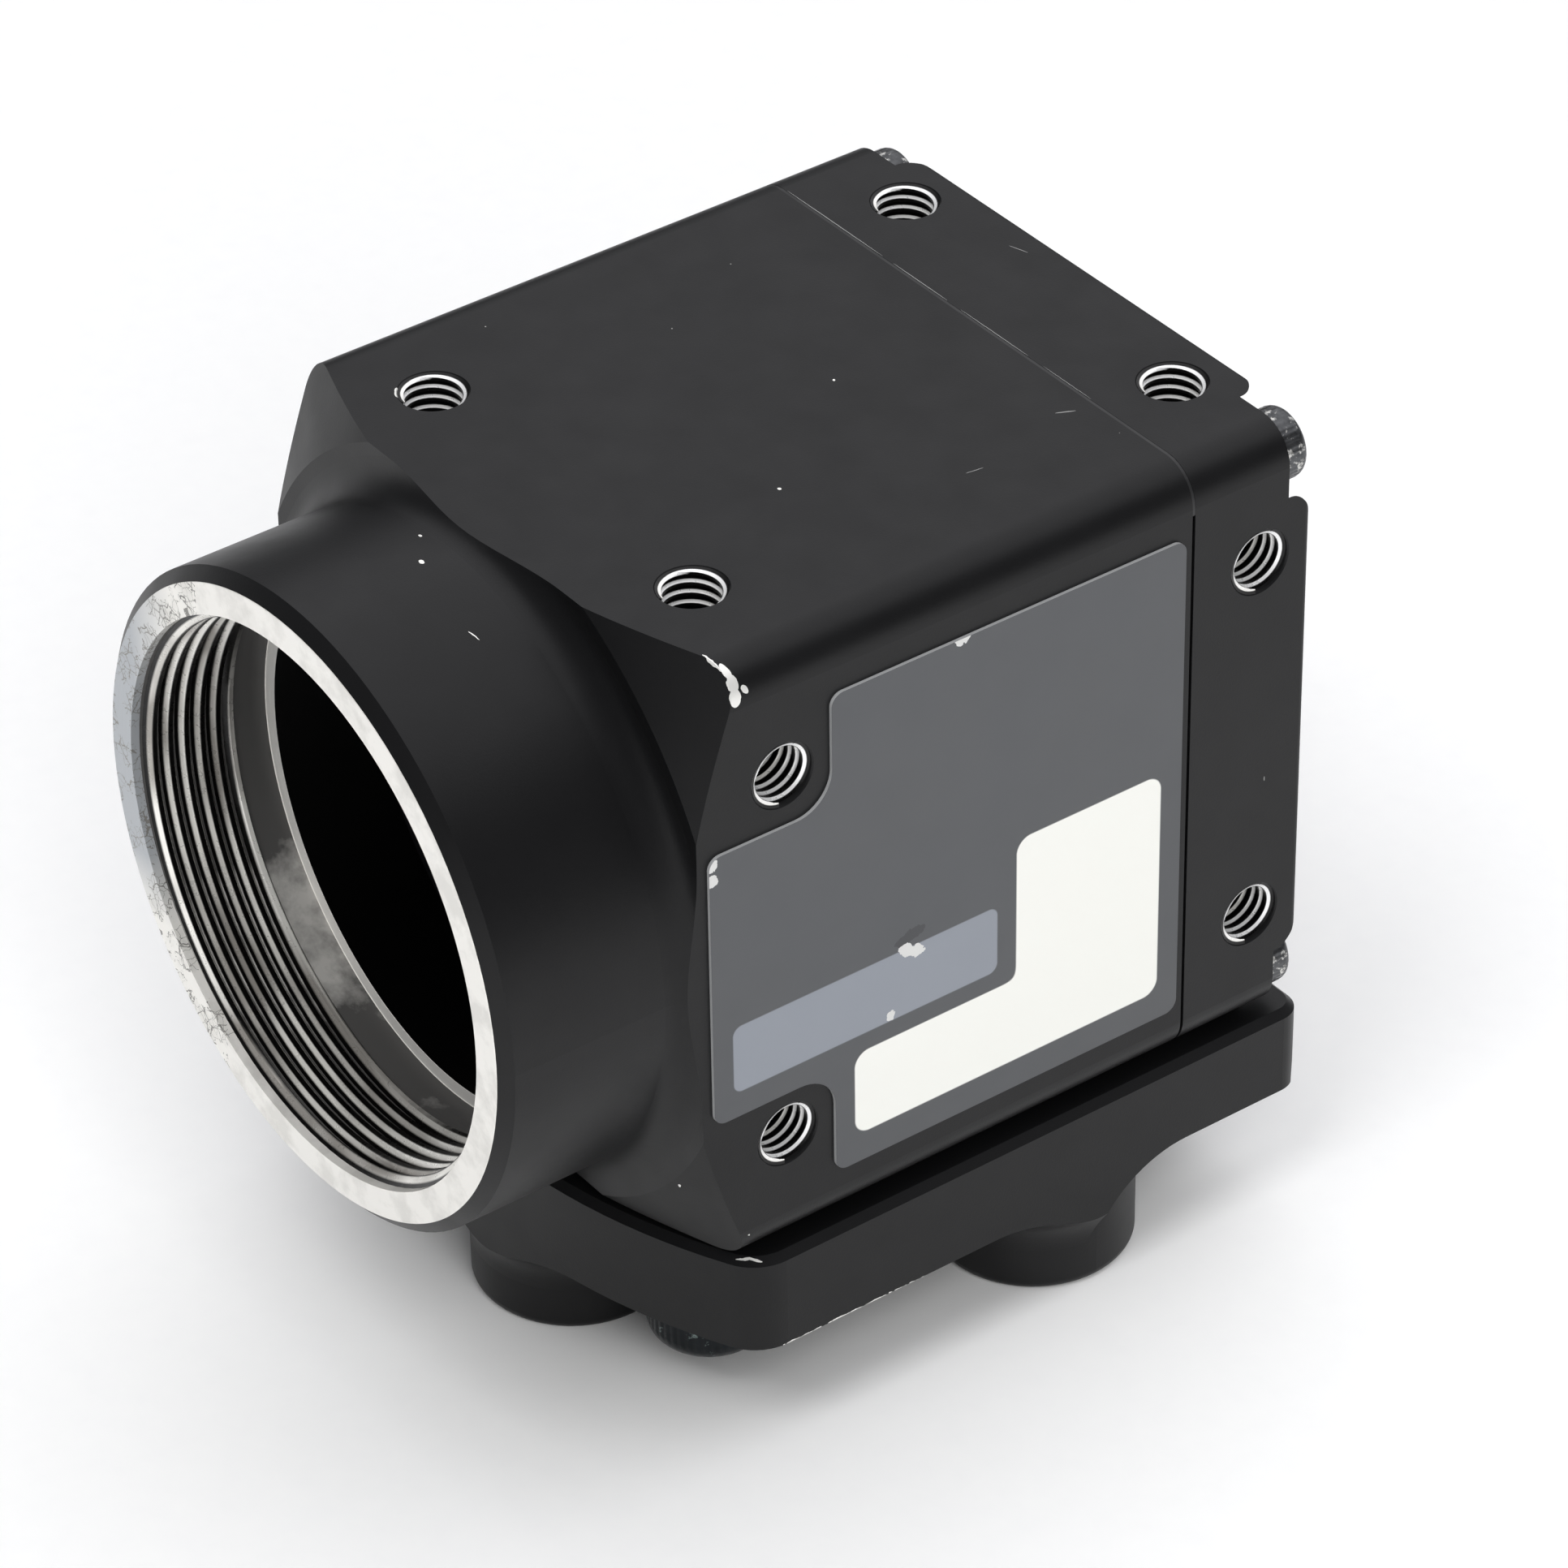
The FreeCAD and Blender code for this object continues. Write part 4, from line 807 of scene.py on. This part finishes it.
FINISHES: dict[Slot, Finish] = {
    # Satin black lacquer on machined aluminium: soft broad highlights on a very fine, even grain.
    Slot.PAINTED: Paint(
        "satin_black_paint_cover", marks=Wear.COVER_CHIPS, scratches_and_highlights=Wear.COVER_SCRATCHES_AND_SEAM_HIGHLIGHTS, **PAINT_LOOK),
    # The same lacquer on the milled base, with a bare-metal line along its lower edge and a mark at its top
    # edge, partly worn paint and partly painted highlights.
    Slot.BASE: Paint("satin_black_paint_base", marks=Wear.BASE_WEAR_AND_HIGHLIGHTS, dust_cell=2.8, **PAINT_LOOK),
    # Moulded rubber: black with a dull sheen, little duller than the paint.
    Slot.RUBBER: Finish("moulded_black_rubber", "#1d1d1e", 0.45, second="#212122", grain=0.2),
    # Dark nickel plate over cold-headed steel: mottled grey metal with small bright spots, partly wear and
    # partly painted glints.
    Slot.SCREW: WornSteel(
        "dark_plated_screw_steel", "#6c6d6f", 0.36, second="#303133", patch=0.35, grain=0.05, depth=0.004,
        spread=0.1, metallic=0.8, spot=0.45, limit=0.6),
    # Black oxide on alloy steel: almost black with a faint oily sheen and a few bright spots, partly wear and
    # partly painted glints.
    Slot.BLACK_SCREW: WornSteel(
        "black_oxide_screw_steel", "#25282b", 0.38, second="#15181a", patch=0.8, grain=0.05, depth=0.004,
        spread=0.1, metallic=0.8, lightening="#7d8a88", spot=0.6, limit=0.66),
    # Printed polyester: a smooth grey film, duller than the paint, with a pale cut edge.
    Slot.LABEL: LabelFilm(
        "printed_polyester_label", "#4b4d51", 0.4, second="#4f5052", patch=6.0, grain=0.25, depth=0.0015,
        spread=0.04, scuffs=Wear.LABEL_SCUFFS, nick_shades=Wear.LABEL_NICK_SHADE),
    # Infrared cut coating on optical glass: deep blue-green tint, mirror smooth.
    Slot.FILTER: Clear("coated_filter_glass", "#5f8f96", 0.03, spread=0.01, grain=3.0, depth=0.0002),
    # Bare optical glass over the sensor.
    Slot.COVER_GLASS: Clear("sensor_cover_glass", "#dff0ee", 0.03, spread=0.01, grain=3.0, depth=0.0002),
    # Black anodised aluminium, turned: matt black against stray light.
    Slot.ANODISED: Finish("black_anodised_aluminium", "#0a0a0b", 0.6, second="#101011", grain=0.06),
    # Fired alumina: dull violet-grey ceramic with a powdery surface.
    Slot.CERAMIC: Finish("fired_alumina", "#5c4f50", 0.7, second="#66595a", grain=0.08),
    # Polished silicon: dark mirror with a slight violet cast.
    Slot.SILICON: Finish(
        "polished_silicon", "#3a3546", 0.12, second="#453c55", patch=2.0, spread=0.03, depth=0.0003,
        metallic=1.0),
    # Solder mask over laid copper: glossy green with paler tracks.
    Slot.BOARD: BoardMask("solder_mask_board", "#12351d", 0.33, second="#164022", grain=0.5),
    # Turned brass, left bright: warm yellow metal with fine tool marks.
    Slot.BRASS: Finish(
        "turned_brass", "#c9a14e", 0.28, second="#b8913f", patch=1.0, grain=0.06, depth=0.002, metallic=1.0),
    # Glass-filled moulding: black plastic with a fine matt skin.
    Slot.CONNECTOR: Finish(
        "moulded_connector_plastic", "#151515", 0.52, second="#1b1b1b", grain=0.1, depth=0.006),
    # Epoxy moulding compound: charcoal with a sanded look.
    Slot.CHIP: Finish("epoxy_chip_body", "#1b1c1d", 0.62, second="#232425", grain=0.07, depth=0.008),
    # Tin-plated sheet steel: pale metal with soft blotches from the dip.
    Slot.BRIGHT: Finish(
        "tinned_sheet_steel", "#bfc0c1", 0.3, second="#a7a8aa", patch=1.8, grain=0.15, depth=0.002,
        metallic=1.0),
    # Nickel plate over brass: warm grey and fairly bright.
    Slot.NICKEL: Finish(
        "nickel_plated_brass", "#b3afa6", 0.24, second="#a29e95", patch=2.0, grain=0.1, depth=0.0015,
        metallic=1.0),
    # Clear moulded acrylic, slightly milky, as light pipes are.
    Slot.LAMP: Clear("clear_light_pipe", "#d9e6d8", 0.22, spread=0.04, grain=0.4, depth=0.002, index=1.49),
}

# The cover's lacquer, cut back on ring and thread to turned metal: the one pale, bright spot.
HOUSING_FINISH = HousingPaint(
    "satin_black_paint_housing", marks=Wear.HOUSING_CHIPS, scratches_and_highlights=Wear.HOUSING_SCRATCHES, **PAINT_LOOK)


class MeshPiece:
    """A mesh built in millimetres that rides on the camera's one body."""

    def __init__(self, name: str, slot: Slot, material: bpy.types.Material) -> None:
        """Starts an empty mesh with its name, the record's slot and its finish."""
        self.name, self.slot, self.material = name, slot, material
        self.mesh = bmesh.new()

    def ring_strip(self, rings: Sequence[Sequence[Vector]], closed: bool = True) -> None:
        """Skins rows of points with quads.

        Args:
            rings: rows with the same number of points, in millimetres.
            closed: True where each row is a closed ring.
        """
        rows = [[self.mesh.verts.new(p * MM) for p in ring] for ring in rings]
        for low, high in zip(rows, rows[1:]):
            count = len(low)
            for k in range(count if closed else count - 1):
                self.mesh.faces.new((low[k], low[(k + 1) % count], high[(k + 1) % count], high[k]))

    def done(self, placed: Sequence[Matrix] = (Matrix(),), replaces: Sequence[str] = ()) -> None:
        """Turns the mesh into objects, one for each placing.

        Args:
            placed: placings in metres; with several, the names are numbered.
            replaces: the CAD nodes that the objects stand for, one for each placing.
        """
        bmesh.ops.remove_doubles(self.mesh, verts=self.mesh.verts, dist=WELD)
        bmesh.ops.recalc_face_normals(self.mesh, faces=self.mesh.faces)
        for number, placing in enumerate(placed, 1):
            name = self.name if len(placed) == 1 else f"{self.name}_{number}"
            data = bpy.data.meshes.new(name)
            self.mesh.to_mesh(data)
            data.materials.append(self.material)
            data.shade_smooth()
            data.set_sharp_from_angle(angle=SHARP_ANGLE)
            piece = bpy.data.objects.new(name, data)
            bpy.context.scene.collection.objects.link(piece)
            piece.matrix_world = placing
            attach(piece, "root")
            if replaces:
                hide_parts(replaces[number - 1])
        log.info("%s: %d placed, %d faces each", self.name, len(placed), len(self.mesh.faces))
        self.mesh.free()


@dataclass(frozen=True)
class Thread:
    """An internal thread along +Y from its mouth at y = 0, a ridge wound on the hole's wall."""

    name: str
    major: float
    pitch: float
    first: float
    last: float
    steps: int
    phase: float = 0.0
    mouth: float = 0.3
    run_out: float = 0.5
    sink: float = 0.01

    @property
    def minor(self) -> float:
        """Minor radius of a 60 degree thread of this pitch."""
        return self.major - 0.5413 * self.pitch

    def build(self, slot: Slot, finish: ThreadMetal, placed: Sequence[Matrix] = (Matrix(),)) -> None:
        """Builds the ridge.

        Args:
            slot: the record's slot, which the piece keeps.
            finish: bright flanks, with crests and roots darkened partly by greasy dirt and partly by painted
                shade.
            placed: where the thread goes; the same mesh is placed in each hole.
        """
        piece = MeshPiece(self.name, slot, finish.build())
        crest, root = self.pitch / 4, self.pitch * 0.92
        turns = (self.last - self.first) / self.pitch
        rows = []
        for k in range(int(turns * self.steps) + 1):
            angle = self.phase - 2 * math.pi * k / self.steps
            y = self.first + self.pitch * k / self.steps
            left = turns - k / self.steps
            deep = min(1.0, left / self.run_out)
            row = []
            for width, high in ((-root, 0.0), (-crest, 1.0), (crest, 1.0), (root, 0.0)):
                at = min(max(y + width / 2, self.first), self.last)
                tip = self.major - high * deep * (self.major - self.minor)
                chamfered = self.major - (at - self.first) / self.mouth * (self.major - self.minor)
                radius = max(tip, chamfered) if high else self.major + self.sink
                row.append(Vector((radius * math.cos(angle), at, radius * math.sin(angle))))
            rows.append(row)
        piece.ring_strip(rows, closed=False)
        piece.done(placed)


@dataclass(frozen=True)
class CapScrew:
    """Socket cap screw with a knurled head, along +Y with its head at y > 0."""

    name: str
    head: float
    height: float
    rounding: float
    key: float
    shank: float
    length: float
    flutes: int
    flute_depth: float
    per_flute: int = 4

    def build(
            self, slot: Slot, material: bpy.types.Material, placed: Sequence[Matrix],
            nodes: Sequence[str]) -> None:
        """Builds the screw and puts one in place of each CAD screw.

        Args:
            slot: the record's slot.
            material: the screw's finish.
            placed: seat placings in metres.
            nodes: the CAD nodes that the screws replace.
        """
        piece = MeshPiece(self.name, slot, material)
        count = self.flutes * self.per_flute
        angles = [2 * math.pi * k / count for k in range(count)]
        knurl = [self.head - (0.0 if k % self.per_flute else self.flute_depth) for k in range(count)]
        hexagon = [self.key / 2 / math.cos(angle % (math.pi / 3) - math.pi / 6) for angle in angles]

        def ring(radius: float | list[float], y: float) -> list[Vector]:
            """Row of points round the axis, with one radius or with one for each point."""
            radii = radius if isinstance(radius, list) else [radius] * count
            return [Vector((reach * math.cos(a), y, reach * math.sin(a))) for reach, a in zip(radii, angles)]

        tip, lead, broken = self.shank * 0.7, 0.3 * self.shank, 0.08
        floor, soft, steps = self.height * 0.45, self.rounding, 6
        rings = [
            # Shank with a chamfered tip; its end closes near the axis.
            ring(self.shank * 0.02, -self.length),
            ring(tip, -self.length),
            ring(self.shank, lead - self.length),
            ring(self.shank, 0.0),
            # Head: broken lower edge, knurled side and rounded rim.
            ring(self.head - broken, 0.0),
            ring(self.head - self.flute_depth / 2, 0.06 * self.height),
            ring(knurl, 0.12 * self.height),
            ring(knurl, self.height - soft - 0.04),
            *(ring(self.head - 0.01 - soft * (1 - math.cos(turn)), self.height - soft * (1 - math.sin(turn)))
              for turn in (math.pi / 2 * k / steps for k in range(steps + 1))),
            # Hexagon socket: broken upper edge, flat floor and the drill's point.
            ring(self.key * 0.66, self.height),
            ring(hexagon, self.height - broken),
            ring(hexagon, floor),
            ring(self.key * 0.3, floor),
            ring(self.key * 0.01, floor - 0.2 * self.key),
        ]
        piece.ring_strip(rings)
        piece.done(placed, nodes)


@dataclass(frozen=True)
class HoleRows:
    """Where the M3 holes open: two rows along the body, four holes round each face pair."""

    half: float = 15.0
    offset: float = 9.1
    rows: tuple[float, float] = (13.65, 38.3)

    def placings(self) -> list[Matrix]:
        """Places the twelve open holes.

        Returns:
            A placing for each hole, with +Y running into the body.
        """
        placed = []
        for row in self.rows:
            for across in (-self.offset, self.offset):
                for place, turn, axis in (
                    ((across, row, self.half), -math.pi / 2, "X"),
                    ((self.half, row, across), math.pi / 2, "Z"),
                    ((-self.half, row, across), -math.pi / 2, "Z"),
                ):
                    placed.append(Matrix.Translation(Vector(place) * MM) @ Matrix.Rotation(turn, 4, axis))
        return placed


@dataclass(frozen=True)
class Light:
    """A soft panel lamp: where it hangs, its side in metres and its power in watts."""

    name: str
    place: Triple
    side: float
    power: float

    def hang(self, aim: Vector) -> None:
        """Adds the lamp, which the object doesn't mirror.

        Args:
            aim: the point that it is turned to, in metres.
        """
        data = bpy.data.lights.new(self.name, "AREA")
        data.shape, data.size, data.energy = "SQUARE", self.side, self.power
        lamp = bpy.data.objects.new(self.name, data)
        lamp.location = self.place
        lamp.rotation_euler = (aim - lamp.location).to_track_quat("-Z", "Y").to_euler()
        lamp.visible_glossy = False
        bpy.context.scene.collection.objects.link(lamp)
        log.info("lamp %s: %.2f W", self.name, self.power)


@dataclass(frozen=True)
class Studio:
    """Pale table, even room light, soft lamps and the camera of the photograph."""

    floor_height: float = -25.55
    floor_side: float = 3.0
    floor_colour: str = "#fdfdfc"
    floor_second: str = "#f8f8f8"
    floor_roughness: float = 0.8
    sky_centre: Triple = (-0.22, 0.38, 0.90)
    sky_edge: float = 0.58
    sky_full: float = 0.85
    sky_colour: str = "#fcfcff"
    sky_strength: float = 1.32
    room_colour: str = "#eef1f6"
    room_strength: float = 0.07
    aim: Triple = (0.0, 0.02, -0.005)
    lens: float = 166.52
    eye: Triple = (203.80, -124.39, 177.75)
    azimuth: float = 53.815
    elevation: float = 35.862
    roll: float = -0.889
    lights: tuple[Light, ...] = (
        Light("right_softbox", (0.62, -0.22, 0.50), 0.5, 3.8),
        Light("front_softbox", (0.14, -0.45, 0.80), 0.4, 2.8),
        Light("left_softbox", (-0.45, -0.45, 0.63), 0.5, 0.4),
    )

    def build(self) -> None:
        """Builds floor, room light, lamps and camera."""
        self.build_floor()
        self.build_room()
        for light in self.lights:
            light.hang(Vector(self.aim))
        self.place_camera()

    def build_floor(self) -> None:
        """Adds the table top, a wide sheet with a faint paper grain."""
        skin = Surface("pale_table_paper")
        cloud = skin.add("TexNoise", {"Vector": skin.mm, "Scale": 0.8, "Detail": 4.0})
        tone = mix(skin, cloud.outputs[0], linear(self.floor_colour), linear(self.floor_second))
        skin.link(tone, "Base Color")
        skin.shader.inputs["Roughness"].default_value = self.floor_roughness
        skin.shade(cloud.outputs[0], 0.002, 0.0)
        sheet = bmesh.new()
        bmesh.ops.create_grid(sheet, x_segments=8, y_segments=8, size=self.floor_side / 2)
        data = bpy.data.meshes.new("table_top")
        sheet.to_mesh(data)
        sheet.free()
        data.materials.append(skin.material)
        floor = bpy.data.objects.new("table_top", data)
        floor.location = (0.0, 0.0, self.floor_height * MM)
        bpy.context.scene.collection.objects.link(floor)

    def build_room(self) -> None:
        """Lights the room: a broad soft sky overhead, a little to the left, and a dim room round it."""
        world = bpy.data.worlds.new("studio_room")
        world.use_nodes = True
        tree = world.node_tree
        tree.nodes.clear()
        way = add_node(tree, "TexCoord").outputs["Generated"]
        centre = Vector(self.sky_centre).normalized()
        near = add_node(tree, "VectorMath", {0: way, 1: centre}, operation="DOT_PRODUCT")
        share = add_node(tree, "MapRange", {
            "Value": near.outputs["Value"], "From Min": self.sky_edge, "From Max": self.sky_full},
            interpolation_type="SMOOTHSTEP")
        room = add_node(tree, "Background", {
            "Color": linear(self.room_colour), "Strength": self.room_strength})
        sky = add_node(tree, "Background", {"Color": linear(self.sky_colour), "Strength": self.sky_strength})
        both = add_node(tree, "MixShader", {0: share.outputs[0], 1: room.outputs[0], 2: sky.outputs[0]})
        add_node(tree, "OutputWorld", {"Surface": both.outputs[0]})
        bpy.context.scene.world = world

    def place_camera(self) -> None:
        """Sets the camera where the photograph was taken from."""
        azimuth, elevation, roll = (math.radians(v) for v in (self.azimuth, self.elevation, self.roll))
        back = Vector((
            math.sin(azimuth) * math.cos(elevation), -math.cos(azimuth) * math.cos(elevation),
            math.sin(elevation)))
        right = Vector((math.cos(azimuth), math.sin(azimuth), 0.0))
        up = back.cross(right)
        right, up = (
            math.cos(roll) * right + math.sin(roll) * up,
            -math.sin(roll) * right + math.cos(roll) * up)
        data = bpy.data.cameras.new("photo_camera")
        data.sensor_fit, data.sensor_width, data.lens = "HORIZONTAL", 36.0, self.lens
        data.clip_start, data.clip_end = 0.01, 20.0
        camera = bpy.data.objects.new("photo_camera", data)
        turned = Matrix((right, up, back)).transposed().to_4x4()
        camera.matrix_world = Matrix.Translation(Vector(self.eye) * MM) @ turned
        bpy.context.scene.collection.objects.link(camera)
        bpy.context.scene.camera = camera


class PackedPart:
    """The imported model: gives every node its finish."""

    def __init__(self, frame: dict) -> None:
        """Reads the nodes and their slots.

        Args:
            frame: what the frame's loader returns.
        """
        self.nodes = frame["nodes"]
        self.slots = {part["node"]: Slot(part["material_slot"]) for part in frame["record"]["subparts"]}
        self.materials: dict[Slot, bpy.types.Material] = {}

    def material(self, slot: Slot) -> bpy.types.Material:
        """Builds a slot's material the first time that it is asked for.

        Args:
            slot: the record's slot.

        Returns:
            The material.
        """
        if slot not in self.materials:
            self.materials[slot] = FINISHES[slot].build()
        return self.materials[slot]

    def dress(self) -> None:
        """Assigns each node's material."""
        housing = HOUSING_FINISH.build()
        for name, node in self.nodes.items():
            material = housing if name == "front_housing" else self.material(self.slots[name])
            for holder in node.material_slots:
                holder.material = material
            log.info("%s: %s", name, material.name)


@dataclass(frozen=True)
class GasketLip:
    """Gasket rubber squeezed flush out of the split line across the top; on the sides the line stays open."""

    half: float = 14.99
    corner: float = 1.8
    front: float = 34.59
    back: float = 34.76
    depth: float = 0.3
    ends: float = 12.9
    steps: int = 8

    def outline(self, inset: float) -> list[tuple[float, float]]:
        """Follows the body from its left side over both rounded corners to its right side.

        Args:
            inset: how far inside the body's outline the points lie.

        Returns:
            Points (x, z).
        """
        middle, radius = self.half - self.corner, self.corner - inset
        points = [(-self.half + inset, self.ends)]
        for centre, start in ((-middle, math.pi), (middle, math.pi / 2)):
            for k in range(self.steps + 1):
                angle = start - math.pi / 2 * k / self.steps
                points.append((centre + radius * math.cos(angle), middle + radius * math.sin(angle)))
        return points + [(self.half - inset, self.ends)]

    def build(self, part: PackedPart) -> None:
        """Builds the lip as a strip with a flat outer edge.

        Args:
            part: the dressed part, which has the rubber's finish.
        """
        piece = MeshPiece("gasket_lip", Slot.RUBBER, part.material(Slot.RUBBER))
        rings = [
            [Vector((x, y, z)) for x, z in self.outline(inset)]
            for y, inset in (
                (self.front, self.depth), (self.front, 0.0), (self.back, 0.0), (self.back, self.depth))]
        piece.ring_strip(rings, closed=False)
        piece.done()


class Threads:
    """The cut threads, which the solids leave as plain walls at the major radius."""

    LENS = Thread("lens_mount_thread", 12.7, 0.794, 0.4, 5.1, 120, phase=0.9, mouth=0.3, run_out=0.6)
    MOUNT = Thread("mounting_thread", 1.5, 0.5, 0.03, 3.3, 32, phase=4.6, mouth=0.1)
    TRIPOD = Thread("tripod_thread_ridge", 3.175, 1.27, 0.1, 4.7, 56, mouth=0.5)

    def build(self) -> None:
        """Builds all three sorts."""
        bright = dict(roughness=0.3, patch=1.2, grain=0.25, depth=0.001, metallic=0.4)
        # Thread cut in bare aluminium: bright flanks between crests and roots darkened partly by greasy dirt
        # and partly by painted shade.
        self.LENS.build(Slot.PAINTED, ThreadMetal(
            "cut_lens_thread", "#fffdf7", second="#a5a19b", crest_radius=self.LENS.minor,
            root_radius=self.LENS.major, bright=(0.03, 0.14, 0.5, 0.68), **bright))
        # Tapped aluminium: bright thread lines in a hole darkened partly by greasy dirt and partly by painted
        # shade on crests and roots.
        self.MOUNT.build(Slot.PAINTED, ThreadMetal(
            "tapped_m3_thread", "#ffffff", second="#f6f4ef", crest_radius=self.MOUNT.minor,
            root_radius=self.MOUNT.major, bright=(0.02, 0.1, 0.48, 0.6), **bright), HoleRows().placings())
        # Tapped through the base: greyer flanks, as the tap left them.
        under = Matrix.Translation(Vector((0.0, 24.612, -20.3)) * MM) @ Matrix.Rotation(math.pi / 2, 4, "X")
        self.TRIPOD.build(Slot.BASE, ThreadMetal(
            "tapped_tripod_thread", "#cfcdc8", second="#9d9b97", crest_radius=self.TRIPOD.minor,
            root_radius=self.TRIPOD.major, **bright), (under,))


class Screws:
    """Cap screws of the cover and of the base, with the knurled heads of the real ones."""

    COVER = CapScrew("cover_cap_screw", 1.6, 1.35, 0.35, 1.3, 0.97, 8.0, 36, 0.03)
    BASE = CapScrew("base_cap_screw", 2.75, 3.0, 0.9, 2.5, 1.47, 8.0, 48, 0.04)

    def build(self, part: PackedPart) -> None:
        """Puts the screws where the CAD screws are.

        Args:
            part: the dressed part, with its nodes and finishes.
        """
        for screw, node, slot, side in (
            (self.COVER, "rear_screw", Slot.SCREW, "y"),
            (self.BASE, "base_screw", Slot.BLACK_SCREW, "z"),
        ):
            names = sorted(name for name in part.nodes if name.startswith(node))
            screw.build(slot, part.material(slot), [self.seat(name, screw, side) for name in names], names)

    @staticmethod
    def seat(name: str, screw: CapScrew, side: str) -> Matrix:
        """Reads a screw's seat from its CAD node's box.

        Args:
            name: the node.
            screw: the screw that stands for it.
            side: "y" where the head faces back, "z" where it faces down.

        Returns:
            The seat's placing in metres.
        """
        low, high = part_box(name)
        middle = (low + high) / 2
        if side == "y":
            return Matrix.Translation(Vector((middle.x, high.y - screw.height * MM, middle.z)))
        return Matrix.Translation(
            Vector((middle.x, middle.y, low.z + screw.height * MM))) @ Matrix.Rotation(-math.pi / 2, 4, "X")


def main() -> None:
    """Builds the classes in order: part, threads, screws, studio."""
    logging.basicConfig(level=logging.INFO, format="%(message)s")
    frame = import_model()
    bpy.context.scene.view_settings.view_transform = "Standard"
    part = PackedPart(frame)
    part.dress()
    GasketLip().build(part)
    Threads().build()
    Screws().build(part)
    Studio().build()


if __name__ == "__main__":
    main()
